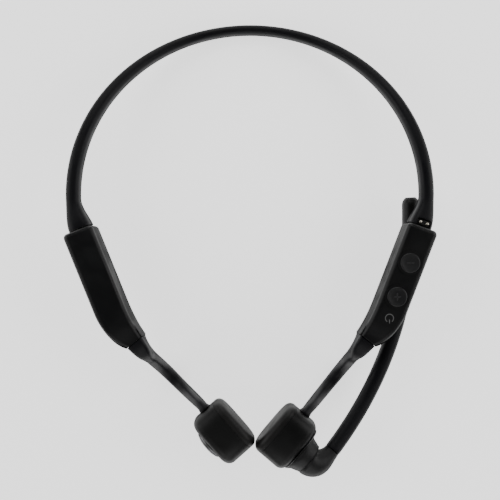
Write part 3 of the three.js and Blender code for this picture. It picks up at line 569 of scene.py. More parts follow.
def grain_group():
    """Moulded grain: a fine pebble over a broad, faint swell."""
    tree, given, out = new_tree("moulded_grain", "ShaderNodeTree", [
        ("Pebble Size", "NodeSocketFloat", 0.00025),
        ("Swell Size", "NodeSocketFloat", 0.006),
    ], [("Height", "NodeSocketFloat"), ("Pebble", "NodeSocketFloat")])
    place = node(tree, "ShaderNodeTexCoord").outputs["Object"]
    fine = node(tree, "ShaderNodeTexNoise", Vector=place, Detail=3.0, Roughness=0.6,
                Scale=maths(tree, "DIVIDE", 1, given["Pebble Size"])).outputs[0]
    broad = node(tree, "ShaderNodeTexNoise", Vector=place, Detail=1.0,
                 Scale=maths(tree, "DIVIDE", 1, given["Swell Size"])).outputs[0]
    tree.links.new(maths(tree, "ADD", fine, maths(tree, "MULTIPLY", broad, 0.35)), out["Height"])
    tree.links.new(fine, out["Pebble"])
    return tree


def handling_group():
    """Signs of handling: soft smudges, small specks of dust and a few hair scratches."""
    tree, given, out = new_tree("handling_marks", "ShaderNodeTree", [
        ("Smudge Size", "NodeSocketFloat", 0.011),
        ("Speck Size", "NodeSocketFloat", 0.0009),
    ], [("Smudge", "NodeSocketFloat"), ("Speck", "NodeSocketFloat"),
        ("Scratch", "NodeSocketFloat")])
    place = node(tree, "ShaderNodeTexCoord").outputs["Object"]
    cloud = node(tree, "ShaderNodeTexNoise", Vector=place, Detail=4.0, Roughness=0.55,
                 Distortion=0.6,
                 Scale=maths(tree, "DIVIDE", 1, given["Smudge Size"])).outputs[0]
    smudge = node(tree, "ShaderNodeMapRange", {"interpolation_type": "SMOOTHSTEP"},
                  Value=cloud, From_Min=0.38, From_Max=0.68)
    cell = node(tree, "ShaderNodeTexVoronoi", Vector=place, Randomness=1.0,
                Scale=maths(tree, "DIVIDE", 1, given["Speck Size"])).outputs["Distance"]
    speck = node(tree, "ShaderNodeMapRange", Value=cell, From_Min=0.1, From_Max=0.04)
    stretched = node(tree, "ShaderNodeMapping", Vector=place, Rotation=(0.3, 0.2, 0.7),
                     Scale=(90, 2600, 900))
    lines = node(tree, "ShaderNodeTexNoise", Vector=stretched.outputs[0], Scale=1.0,
                 Detail=2.0).outputs[0]
    scratch = node(tree, "ShaderNodeMapRange", Value=lines, From_Min=0.7, From_Max=0.76)
    tree.links.new(smudge.outputs[0], out["Smudge"])
    tree.links.new(speck.outputs[0], out["Speck"])
    tree.links.new(scratch.outputs[0], out["Scratch"])
    return tree


def brushed_group():
    """Fine parallel lines left by drawing or turning metal."""
    tree, given, out = new_tree("drawn_metal", "ShaderNodeTree", [
        ("Line Size", "NodeSocketFloat", 0.00008),
    ], [("Lines", "NodeSocketFloat")])
    place = node(tree, "ShaderNodeTexCoord").outputs["Object"]
    fine = maths(tree, "DIVIDE", 1, given["Line Size"])
    reach = node(tree, "ShaderNodeCombineXYZ", X=maths(tree, "MULTIPLY", fine, 0.04),
                 Y=maths(tree, "MULTIPLY", fine, 0.04), Z=fine)
    scaled = vector_maths(tree, "MULTIPLY", place, reach.outputs[0])
    lines = node(tree, "ShaderNodeTexNoise", Vector=scaled, Scale=1.0, Detail=2.0).outputs[0]
    tree.links.new(lines, out["Lines"])
    return tree


def shine_group():
    """The shine of a matt coating: Shine where it faces the eye, Edge Shine where it is edge on."""
    tree, given, out = new_tree("coating_shine", "ShaderNodeTree", [
        ("Shine", "NodeSocketFloat", 0.3),
        ("Edge Shine", "NodeSocketFloat", 0.01),
    ], [("Shine", "NodeSocketFloat")])
    facing = node(tree, "ShaderNodeLayerWeight", Blend=0.5).outputs["Facing"]
    fade = node(tree, "ShaderNodeMapRange", {"interpolation_type": "SMOOTHSTEP"},
                Value=facing, From_Min=0.45, From_Max=0.86, To_Min=1.0, To_Max=0.0)
    square = maths(tree, "MULTIPLY", fade.outputs[0], given["Shine"])
    tree.links.new(maths(tree, "MAXIMUM", square, given["Edge Shine"]), out["Shine"])
    return tree


GRAIN = grain_group()
SHINE = shine_group()
HANDLING = handling_group()
DRAWN = brushed_group()


def group_node(tree, group, **inputs):
    made = tree.nodes.new("ShaderNodeGroup")
    made.node_tree = group
    for label, value in inputs.items():
        made.inputs[label.replace("_", " ")].default_value = value
    return made.outputs


def blend_colour(tree, share, first, second):
    made = tree.nodes.new("ShaderNodeMix")
    made.data_type = "RGBA"
    for label, value in (("Factor_Float", share), ("A_Color", first), ("B_Color", second)):
        socket = next(s for s in made.inputs if s.identifier == label)
        if isinstance(value, bpy.types.NodeSocket):
            tree.links.new(value, socket)
        else:
            socket.default_value = value if label == "Factor_Float" else (*value, 1)
    return next(s for s in made.outputs if s.identifier == "Result_Color")


def new_material(name, roughness, metallic=0.0, specular=0.5):
    made = bpy.data.materials.new(name)
    made.use_nodes = True
    tree = made.node_tree
    shader = next(n for n in tree.nodes if n.type == "BSDF_PRINCIPLED")
    shader.inputs["Roughness"].default_value = roughness
    shader.inputs["Metallic"].default_value = metallic
    shader.inputs["Specular IOR Level"].default_value = specular
    return made, tree, shader.inputs


def plastic(name, dark, light, roughness, specular, pebble=0.00025, dust=0.25, edge=0.008):
    """Moulded plastic or rubber: two near tones, grain, smudges and a little dust."""
    made, tree, surface = new_material(name, roughness, 0.0, specular)
    grain = group_node(tree, GRAIN, Pebble_Size=pebble)
    marks = group_node(tree, HANDLING)
    tone = blend_colour(tree, grain["Pebble"], dark, light)
    worn = blend_colour(tree, maths(tree, "MULTIPLY", marks["Smudge"], SMUDGE_TONE), tone, light)
    grey = tuple(0.06 + 2 * c for c in light)
    dusty = blend_colour(tree, maths(tree, "MULTIPLY", marks["Speck"], dust), worn, grey)
    tree.links.new(dusty, surface["Base Color"])
    rough = maths(tree, "ADD", maths(tree, "MULTIPLY", marks["Smudge"], SMUDGE_GLOSS),
                  roughness + 0.04)
    tree.links.new(maths(tree, "ADD", rough, maths(tree, "MULTIPLY", marks["Scratch"],
                                                   SCRATCH_ROUGHNESS)),
                   surface["Roughness"])
    tree.links.new(group_node(tree, SHINE, Shine=specular, Edge_Shine=edge)["Shine"],
                   surface["Specular IOR Level"])
    bump = node(tree, "ShaderNodeBump", Height=grain["Height"], Strength=0.6,
                Distance=PEBBLE_DEPTH)
    tree.links.new(bump.outputs[0], surface["Normal"])
    return made


def metal(name, colour, tint, roughness, line=0.00008):
    """Drawn, turned or plated metal with fine lines and a slight tint from handling."""
    made, tree, surface = new_material(name, roughness, 1.0)
    lines = group_node(tree, DRAWN, Line_Size=line)["Lines"]
    marks = group_node(tree, HANDLING)
    tree.links.new(blend_colour(tree, marks["Smudge"], colour, tint), surface["Base Color"])
    rough = maths(tree, "ADD", maths(tree, "MULTIPLY", lines, 0.2), roughness - 0.08)
    tree.links.new(maths(tree, "ADD", rough, maths(tree, "MULTIPLY", marks["Smudge"], 0.08)),
                   surface["Roughness"])
    bump = node(tree, "ShaderNodeBump", Height=lines, Strength=0.3, Distance=0.000005)
    tree.links.new(bump.outputs[0], surface["Normal"])
    return made


def board_material():
    """Green lacquer over copper tracks, with small tinned pads."""
    made, tree, surface = new_material("circuit_board", 0.35)
    place = node(tree, "ShaderNodeTexCoord").outputs["Object"]
    tracks = node(tree, "ShaderNodeTexBrick", {"offset": 0.5}, Vector=place, Scale=420.0,
                  Mortar_Size=0.05, Brick_Width=1.7, Row_Height=0.25).outputs["Fac"]
    pads = node(tree, "ShaderNodeTexVoronoi", {"distance": "CHEBYCHEV"}, Vector=place,
                Scale=700.0).outputs["Distance"]
    pad = maths(tree, "LESS_THAN", pads, 0.17)
    lacquer = blend_colour(tree, tracks, (0.008, 0.05, 0.025), (0.02, 0.11, 0.05))
    tree.links.new(blend_colour(tree, pad, lacquer, (0.5, 0.48, 0.42)), surface["Base Color"])
    tree.links.new(pad, surface["Metallic"])
    bump = node(tree, "ShaderNodeBump", Height=maths(tree, "ADD", tracks, pad), Strength=0.4,
                Distance=0.00003)
    tree.links.new(bump.outputs[0], surface["Normal"])
    return made


def foil_material():
    """Crinkled laminate foil round the cell."""
    made, tree, surface = new_material("battery_foil", 0.4, 0.85)
    place = node(tree, "ShaderNodeTexCoord").outputs["Object"]
    folds = node(tree, "ShaderNodeTexNoise", Vector=place, Scale=260.0, Detail=5.0,
                 Distortion=1.2).outputs[0]
    marks = group_node(tree, HANDLING)
    tree.links.new(blend_colour(tree, folds, (0.3, 0.32, 0.35), (0.62, 0.64, 0.67)),
                   surface["Base Color"])
    tree.links.new(maths(tree, "ADD", maths(tree, "MULTIPLY", marks["Smudge"], 0.2), 0.28),
                   surface["Roughness"])
    bump = node(tree, "ShaderNodeBump", Height=folds, Strength=0.7, Distance=0.0001)
    tree.links.new(bump.outputs[0], surface["Normal"])
    return made


LOOKS = {
    "soft_touch_black": plastic("soft_touch_black", (0.002, 0.002, 0.003), (0.004, 0.004, 0.0055),
                                0.45, 0.22),
    "shell_black": plastic("shell_black", (0.002, 0.002, 0.002), (0.004, 0.004, 0.0038), 0.42,
                           0.28),
    "cover_black": plastic("cover_black", (0.002, 0.002, 0.0022), (0.004, 0.004, 0.0043), 0.4, 0.3),
    "pad_rubber": plastic("pad_rubber", (0.004, 0.0038, 0.0036), (0.008, 0.0076, 0.007), 0.46, 0.3,
                          0.0004, edge=0.04),
    "button_black": plastic("button_black", (0.007, 0.007, 0.0075), (0.011, 0.011, 0.0116), 0.42,
                            0.4),
    "elbow_grey": plastic("elbow_grey", (0.006, 0.006, 0.0062), (0.01, 0.01, 0.0103), 0.48, 0.28),
    "cable_black": plastic("cable_black", (0.005, 0.005, 0.005), (0.01, 0.01, 0.01), 0.45, 0.5,
                           dust=0.1),
    "rim_grey": metal("rim_grey", (0.16, 0.16, 0.165), (0.22, 0.22, 0.22), 0.35),
    "spring_titanium": metal("spring_titanium", (0.42, 0.4, 0.38), (0.5, 0.47, 0.45), 0.35),
    "motor_steel": metal("motor_steel", (0.5, 0.51, 0.53), (0.6, 0.6, 0.6), 0.32),
    "magnet_nickel": metal("magnet_nickel", (0.6, 0.58, 0.53), (0.7, 0.67, 0.6), 0.18),
    "coil_copper": metal("coil_copper", (0.75, 0.3, 0.13), (0.85, 0.42, 0.22), 0.3, 0.00012),
    "contact_gold": metal("contact_gold", (0.9, 0.84, 0.7), (0.95, 0.9, 0.78), 0.22),
    "mic_mesh": metal("mic_mesh", (0.12, 0.12, 0.125), (0.2, 0.2, 0.2), 0.4, 0.00003),
    "circuit_board": board_material(),
    "battery_foil": foil_material(),
}
LOOKS["printed_mark"] = plastic("printed_mark", (0.1, 0.1, 0.1), (0.14, 0.14, 0.14), 0.6, 0.4,
                                dust=0.0)
LOOKS["key_mark"] = plastic("key_mark", (0.016, 0.016, 0.017), (0.024, 0.024, 0.025), 0.5, 0.4,
                            dust=0.0)


def attach(piece, body, slot, *nodes):
    """A finished piece rides its body and stands for its CAD nodes."""
    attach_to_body(piece, body)
    if nodes:
        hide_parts(*nodes)
    return piece


# ---------------------------------------------------------------- neckband

def band_arc(sign):
    """From the rear of the neck to one end of the band."""
    points = []
    for i in range(BAND_STEPS + 1):
        angle = math.pi / 2 * i / BAND_STEPS
        rise = (POD_MID_Z - BAND_REAR_HEIGHT / 2) * math.sin(angle) ** 2
        points.append(Vector((sign * BAND_RADIUS * math.sin(angle), BAND_RADIUS * math.cos(angle),
                              BAND_REAR_HEIGHT / 2 + rise)))
    return points


def boot_path(sign):
    """From the end of the band down to the pod's rear face."""
    low = pod_rear(sign) + GAP * pod_rearward(sign)
    high = Vector((sign * BAND_RADIUS, -GAP, POD_MID_Z))
    reach = (low - high).length / 3
    return bezier(high, high - Vector((0, reach, 0)), low + reach / 2 * pod_rearward(sign), low, 40)


def half_band_path(sign, inward=0.0):
    """One side of the neckband, and its wires' way on into the pod."""
    points = band_arc(sign) + boot_path(sign)
    if inward:
        points.append(pod_rear(sign) - inward * pod_rearward(sign))
    return points


def half_band(sign, side):
    arc_length = distances(band_arc(sign))[-1]

    def section(distance, length):
        along = min(distance / arc_length, 1)
        share = math.cos(math.pi / 2 * along) ** 2
        wide = mix(BAND_END_WIDTH, BAND_REAR_WIDTH, share)
        high = mix(BAND_END_HEIGHT, BAND_REAR_HEIGHT, share)
        boot = smooth(length - distance, (length - arc_length) * 0.9)
        wide = mix(wide, BOOT_WIDTH, boot)
        high = mix(high, BOOT_HEIGHT, boot)
        return wide / 2, high / 2, 2.5 + boot, -sign * BOOT_INSET * boot, 0

    def round_wire(radius, lift):
        return lambda distance, length: (radius, radius, 2, 0, lift)

    look = LOOKS["soft_touch_black"]
    tubes = {"wire": (BAND_WIRE_RADIUS, BAND_WIRE_LIFT, "spring_titanium"),
             "cable": (BAND_CABLE_RADIUS, BAND_CABLE_LIFT, "cable_black")}
    skin = swept(f"neckband_skin_{side}", half_band_path(sign), section, look, 200, 56)
    over = [Vector((-sign, BAND_RADIUS, BAND_REAR_HEIGHT / 2))] + half_band_path(sign, POD_WALL)
    bores = [swept("bore", over, round_wire(radius + GAP / 2, lift), look, 120, 16)
             for radius, lift, _ in tubes.values()]
    if sign > 0:
        bores.append(charging_pocket(look))
    cut(skin, look, *bores)
    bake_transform(skin)
    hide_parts("neckband_skin", f"{side}_band_boot")
    for name, (radius, lift, slot) in tubes.items():
        path = half_band_path(sign, POD_WALL + 3)
        tube = swept(f"neckband_{name}_{side}", path, round_wire(radius, lift), LOOKS[slot], 160,
                     16)
        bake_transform(tube)
        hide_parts(f"neckband_{name}")


# ---------------------------------------------------------------- charging contacts

POCKET_WIDTH, POCKET_LENGTH, POCKET_Y, POCKET_DEPTH = 5.0, 2.4, 1.5, 2.4
PIN_RADIUS, PIN_SPREAD = 0.55, 1.2
POCKET_TOP = POD_HEIGHT / 2 + BOOT_HEIGHT / 2


def charging_pocket(look):
    low = POCKET_TOP - POCKET_DEPTH
    middle = Matrix.Translation(Vector((0, POCKET_Y, low + 2.4)))
    return rounded_bar("pocket", (POCKET_WIDTH, POCKET_LENGTH, POCKET_HEIGHT), POCKET_ROUNDING,
                       look, pod_matrix(1)
                       @ middle)


def charging_contacts():
    place = pod_matrix(1)
    floor = POCKET_TOP - POCKET_DEPTH + GAP / 3
    top = floor + 1.2
    pins = {"charging_contact_inner": -PIN_SPREAD, "charging_contact_outer": PIN_SPREAD}
    look = LOOKS["cable_black"]
    middle = Matrix.Translation(Vector((0, POCKET_Y, (floor + top) / 2)))
    size = (POCKET_WIDTH - GAP, POCKET_LENGTH - GAP, top - floor)
    block = rounded_bar("charging_block", size, 0.2, look, place @ middle)
    wells = []
    for name, x in pins.items():
        spot = place @ Matrix.Translation(Vector((x, POCKET_Y, 0)))
        wells.append(skinned_rings("well", [oval(floor - 1, PIN_RADIUS + 0.05, sides=32),
                                            oval(top + 1, PIN_RADIUS + 0.05, sides=32)],
                                   look, place=spot))
        pin = skinned_rings(name, [
            oval(floor, 0),
            oval(floor, PIN_RADIUS, sides=40),
            *round_edge(top + 0.55, 1, PIN_RADIUS, PIN_RADIUS, 2, PIN_ROUNDING, 6, sides=40),
            oval(top + 0.6, 0),
        ], LOOKS["contact_gold"], place=spot)
        attach(pin, "right_side", "contact_gold", name)
    cut(block, look, *wells)
    attach(block, "right_side", "cable_black", "charging_block")


# ---------------------------------------------------------------- pods

def pod_section(sign, y, inset, low, high, low_round, high_round, nose=0.0, bend=0.0):
    """A rounded box section across the pod. Inset draws it in all round, nose draws in its outer
    side, and bend pushes out its inner side."""
    half = POD_WIDTH / 2 - inset
    points = []
    corners = [(1, -1, low_round), (1, 1, high_round), (-1, 1, high_round), (-1, -1, low_round)]
    for turn, (sx, sz, radius) in enumerate(corners):
        edge = half - nose if sx == sign else half + bend
        level = low if sz < 0 else high
        if radius > 1:
            level -= sz * inset
        for i in range(POD_CORNER_STEPS + 1):
            angle = math.pi / 2 * (turn - 1 + i / POD_CORNER_STEPS)
            x = sx * (edge - radius) + radius * math.cos(angle)
            z = level - sz * radius + radius * math.sin(angle)
            points.append(Vector((x, y, z)))
    return points


def pod_rings(sign, low, high, low_round, high_round, fall=0.0):
    """Sections from the rounded rear end to the turned front, where the outer side curves in."""
    rings = []
    steps = 8
    for i in range(steps + 1):
        angle = math.pi / 2 * i / steps
        inset = POD_END_ROUND * (1 - math.sin(angle))
        y = -POD_END_ROUND * (1 - math.cos(angle))
        rings.append(pod_section(sign, y, inset, low, high, low_round, high_round))
    steps = 28
    for i in range(steps + 1):
        angle = NOSE_SWEEP * i / steps
        nose = POD_NOSE_INSET * (1 - math.cos(angle)) / (1 - math.cos(NOSE_SWEEP))
        forward = (POD_LENGTH - POD_STRAIGHT) * math.sin(angle) / math.sin(NOSE_SWEEP)
        top = high - fall * (1 - smooth(POD_STRAIGHT + forward - POD_LENGTH + FRONT_FALL_REACH,
                                        FRONT_FALL_REACH))
        share = (forward / (POD_LENGTH - POD_STRAIGHT)) ** 2
        bend = POD_BEND_REACH * share
        ring = pod_section(sign, -POD_STRAIGHT - forward, 0, low, top, low_round, high_round, nose,
                           bend)
        for point in ring:
            point.y -= (sign * point.x + POD_NOSE_SHIFT) * share * math.tan(HOOK_TURN)
        rings.append(ring)
    return rings


def end_bore(radius, lift, reach, look, place):
    """A round hole into one of the pod's ends, from a place on its face."""
    middle = POD_HEIGHT / 2 + lift
    rings = []
    for end in (-reach, reach):
        rings.append([Vector((p.x, end, middle + p.y)) for p in oval(0, radius, sides=24)])
    return skinned_rings("bore", rings, look, place=place)


def pod_tray(side, sign):
    look = LOOKS["shell_black"]
    place = pod_matrix(sign)
    top = POD_HEIGHT - COVER_THICKNESS - HAIRLINE
    tray = skinned_rings(f"{side}_pod_shell", pod_rings(sign, 0, top, POD_CORNER, SEAM_EDGE), look,
                         place=place)
    inner = (POD_WIDTH - 2 * POD_WALL, POD_CAVITY, POD_HEIGHT * 2)
    middle = Matrix.Translation(Vector((0, -POD_WALL - POD_CAVITY / 2, POD_WALL + POD_HEIGHT)))
    cavity = rounded_bar("cavity", inner, 0.5, look, place @ middle)
    front = Matrix.Translation(Vector((-sign * POD_NOSE_SHIFT, -POD_LENGTH, 0)))
    turned = Matrix.Rotation(-sign * HOOK_TURN, 4, "Z")
    cut(tray, look, cavity,
        end_bore(BAND_WIRE_RADIUS + RUNNING_GAP, BAND_WIRE_LIFT, 3, look, place),
        end_bore(BAND_CABLE_RADIUS + RUNNING_GAP, BAND_CABLE_LIFT, 3, look, place),
        end_bore(HOOK_WIRE_RADIUS + RUNNING_GAP, 0, HOOK_WIRE_ANCHOR + GAP, look, place @ front
                 @ turned),
        weighted=True)
    attach(tray, f"{side}_side", "shell_black", f"{side}_pod_shell")


def key_well(y, look, place):
    """The hole for a key, with a chamfered mouth and a shallow ring groove round it."""
    low = POD_HEIGHT - COVER_THICKNESS - 1
    spot = place @ Matrix.Translation(Vector((0, y, 0)))
    radius = KEY_RADIUS + 0.42
    return skinned_rings("well", [
        oval(low, radius, sides=96),
        oval(POD_HEIGHT - 0.34, radius, sides=96),
        oval(POD_HEIGHT + 0.3, radius + 0.4, sides=96),
    ], look, place=spot)


def pod_cover(side, sign):
    look = LOOKS["cover_black"]
    place = pod_matrix(sign)
    low = POD_HEIGHT - COVER_THICKNESS + HAIRLINE
    rings = pod_rings(sign, low, POD_HEIGHT, SEAM_EDGE, POD_CORNER - 0.1, FRONT_FALL)
    cover = skinned_rings(f"{side}_pod_cover", rings, look, weighted=True, place=place)
    if sign > 0:
        cut(cover, look, *[key_well(y, look, place) for y in KEY_PLACES.values()], weighted=True)
    attach(cover, f"{side}_side", "cover_black", f"{side}_pod_cover")


def volume_key(name, y):
    look = LOOKS["button_black"]
    place = pod_matrix(1) @ Matrix.Translation(Vector((0, y, 0)))
    flange_top = POD_HEIGHT - COVER_THICKNESS - GAP
    top = POD_HEIGHT + KEY_PROUD
    stem_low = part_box(f"{name}_button")[0].z / MM - POD_REAR.z
    cap = skinned_rings("cap", [
        oval(stem_low, 0),
        oval(stem_low, 1.0, sides=72),
        oval(flange_top - 0.6, 1.0, sides=72),
        oval(flange_top - 0.6, KEY_RADIUS + 0.6, sides=72),
        oval(flange_top, KEY_RADIUS + 0.6, sides=72),
        oval(flange_top, KEY_RADIUS, sides=72),
        *round_edge(top, 1, KEY_RADIUS, KEY_RADIUS, 2, KEY_ROUNDING, 8, sides=72),
        oval(top - 0.1, KEY_RADIUS * 0.78, sides=72),
        oval(top - 0.2, KEY_RADIUS * 0.5, sides=72),
        oval(top - 0.24, 0),
    ], look, place=place)
    bars = [(2.6, 0.5)]
    if name == "volume_plus":
        bars.append((0.5, 2.6))
    marks = []
    for width, length in bars:
        spot = place @ Matrix.Rotation(POD_ANGLE, 4,
                                       "Z") @ Matrix.Translation(Vector((0, 0, top - MARK_SINK)))
        marks.append(rounded_bar("mark", (width, length, MARK_THICKNESS), MARK_ROUNDING, look,
                                 spot))
    cap.name = f"{name}_button"
    attach(cap, f"{name}_key", "button_black", f"{name}_button")
    attach(joined(f"{name}_mark", marks, LOOKS["key_mark"]), f"{name}_key", "rim_grey")


def power_mark():
    """The printed power symbol: an open ring with a bar in its gap."""
    place = pod_matrix(1) @ Matrix.Translation(Vector((0.2, POWER_MARK_Y,
                                                       0))) @ Matrix.Rotation(POD_ANGLE, 4, "Z")
    look = LOOKS["printed_mark"]
    outer, inner, low, high = 1.52, 1.24, POD_HEIGHT - 0.02, POD_HEIGHT + 0.03
    rings = []
    steps = 48
    for i in range(steps + 1):
        angle = math.radians(mix(-55, 235, i / steps))
        spoke = Vector((math.cos(angle), math.sin(angle), 0))
        rings.append([spoke * r + Vector((0, 0, z)) for r, z in
                      ((inner, low), (outer, low), (outer, high), (inner, high))])
    ring = skinned_rings("ring", rings, look, place=place)
    bar = rounded_bar("bar", (0.28, 1.4, high - low), 0.01, look,
                      place @ Matrix.Translation(Vector((0, -1.1, (low + high) / 2))))
    attach(joined("power_mark", [ring, bar], look), "right_side", "rim_grey")


# ---------------------------------------------------------------- ear hooks

def hook_path(sign):
    """From the pod's front face over the ear to the transducer's side, bowed out low down."""
    forward = hook_forward(sign)
    start = pod_front(sign) + HAIRLINE * forward
    inward = -drum_rearward(sign)
    end = drum_centre(sign) - (DRUM_LENGTH / 2 + HAIRLINE) * inward
    level = (end - start) * Vector((1, 1, 0))
    level.normalize()
    outward = Vector((-sign * level.y, sign * level.x, 0))
    apex = start.lerp(end, HOOK_APEX_SHARE) + HOOK_BOW * outward
    apex.z = HOOK_APEX_SIZE / 2
    return bezier(start, start + HOOK_LEAVE * forward, apex - HOOK_LEVEL * level, apex) + \
        bezier(apex, apex + HOOK_LEVEL * level, end - HOOK_ARRIVE * inward, end)[1:]


def ear_hook(side, sign):
    def section(distance, length):
        along = min(max((distance / length - 0.5) * 2, 0), 1)
        neck = mix(HOOK_APEX_SIZE, HOOK_END_WIDTH, along) / 2
        high = mix(HOOK_APEX_SIZE, HOOK_END_WIDTH + 0.6, along) / 2
        drop = smooth(distance, HOOK_DROP)
        flare = max(0, 1 - distance / HOOK_FLARE) ** 2
        wide = mix(neck, POD_NOSE_WIDTH / 2, flare)
        collar = 1 + 0.2 * smooth(length - distance, 1.4)
        return (wide * collar, mix(high, (POD_HEIGHT - FRONT_FALL) / 2, drop) * collar,
                2.4 + 4.6 * smooth(distance, HOOK_DROP / 2), 0, -FRONT_FALL / 2 * drop)

    def wire(radius):
        return lambda distance, length: (radius, radius, 2, 0, 0)

    look = LOOKS["soft_touch_black"]
    path = hook_path(sign)
    pod_end = path[0] - HOOK_WIRE_ANCHOR * hook_forward(sign)
    drum_end = path[-1] - (DRUM_WALL + 1) * drum_rearward(sign)
    longer = [pod_end] + path + [drum_end]
    skin = swept(f"{side}_hook_skin", path, section, look, 180, 64, 0.5)
    cut(skin, look, swept("bore", longer, wire(HOOK_WIRE_RADIUS + GAP / 2), look, 100, 16))
    attach(skin, f"{side}_side", "soft_touch_black", f"{side}_hook_skin")
    core = swept(f"{side}_hook_wire", longer, wire(HOOK_WIRE_RADIUS), LOOKS["spring_titanium"], 100,
                 16)
    attach(core, f"{side}_side", "spring_titanium", f"{side}_hook_wire")


# ---------------------------------------------------------------- transducers

def drum_housing(side, sign, opening, opening_x):
    """One closed wall: outside, rounded back edge, the opening in the back, and the inside."""
    look = LOOKS["shell_black"]
    half_l, half_h = DRUM_LENGTH / 2, DRUM_HEIGHT / 2
    inner_l, inner_h = half_l - DRUM_WALL, half_h - DRUM_WALL
    edge = 0.06
    floor = DRUM_BACK + DRUM_WALL
    mouth = PAD_BASE - HAIRLINE
    rings = [
        *round_edge(mouth, 1, half_l, half_h, DRUM_POWER, edge, 4),
        oval(mouth, inner_l, inner_h, DRUM_POWER),
        *round_edge(floor, -1, inner_l, inner_h, DRUM_POWER, OUTER_ROUNDING - 0.8, 5),
        oval(floor, opening, centre=opening_x),
        oval(DRUM_BACK, opening, centre=opening_x),
        *reversed(round_edge(DRUM_BACK, -1, half_l, half_h, DRUM_POWER, OUTER_ROUNDING, 10)),
    ]
    housing = skinned_rings(f"{side}_transducer_housing", rings, look, loop=True,
                            place=drum_matrix(sign))
    hole = skinned_rings("bore", [
        [Vector((x, p.x, p.y)) for p in oval(0, HOOK_WIRE_RADIUS + GAP / 2, sides=24)]
        for x in (half_l - 3, half_l + 1)
    ], look, place=drum_matrix(sign))
    cut(housing, look, hole)
    attach(housing, f"{side}_side", "shell_black", f"{side}_transducer_housing")


def contact_pad(side, sign):
    """A domed silicone cap over the housing's mouth, with a spigot inside it."""
    look = LOOKS["pad_rubber"]
    half_l, half_h = DRUM_LENGTH / 2, DRUM_HEIGHT / 2
    spigot = DRUM_WALL + GAP
    flat_l, flat_h = half_l - PAD_ROUNDING, half_h - PAD_ROUNDING
    face = DRUM_DEPTH / 2
    low = PAD_BASE + HAIRLINE
    crown = 0.12
    rings = [
        oval(PAD_BASE - 1.2, 0),
        oval(PAD_BASE - 1.2, half_l - spigot, half_h - spigot, DRUM_POWER),
        oval(low, half_l - spigot, half_h - spigot, DRUM_POWER),
        oval(low, half_l - 0.06, half_h - 0.06, DRUM_POWER),
        oval(low + 0.06, half_l, half_h, DRUM_POWER),
        *round_edge(face - crown, 1, half_l, half_h, DRUM_POWER, PAD_ROUNDING, 12),
        oval(face - crown / 3, flat_l * 0.6, flat_h * 0.6, 2.6),
        oval(face, flat_l * 0.2, flat_h * 0.2, 2.2),
        oval(face, 0),
    ]
    pad = skinned_rings(f"{side}_contact_pad", rings, look, place=drum_matrix(sign))
    attach(pad, f"{side}_side", "pad_rubber", f"{side}_contact_pad")


def multifunction_key():
    place = drum_matrix(-1)
    face = DRUM_BACK - HAIRLINE
    well = MAIN_KEY_RADIUS + BEZEL_WIDTH
    hole = MAIN_KEY_RADIUS + 0.15
    bezel = skinned_rings("multifunction_bezel", [
        oval(face, hole), oval(face, well),
        *round_edge(face - BEZEL_PROUD - GAP, -1, well, well, 2, 0.3, 5)[::-1],
        oval(face - BEZEL_PROUD - GAP + 0.15, hole),
    ], LOOKS["rim_grey"], loop=True, place=place)
    attach(bezel, "left_side", "rim_grey", "multifunction_bezel")
    flange = DRUM_BACK + DRUM_WALL + GAP
    radius = MAIN_KEY_RADIUS
    top = DRUM_BACK - MAIN_KEY_PROUD
    key = skinned_rings("multifunction_button", [
        oval(flange + 0.5, 0),
        oval(flange + 0.5, radius + 0.8),
        oval(flange, radius + 0.8),
        oval(flange, radius),
        *round_edge(top, -1, radius, radius, 2, 0.5, 8),
        oval(top + 0.12, radius * 0.72),
        oval(top + 0.24, radius * 0.4),
        oval(top + 0.27, 0),
    ], LOOKS["button_black"], place=place)
    attach(key, "multifunction_key", "button_black", "multifunction_button")


# ---------------------------------------------------------------- boom

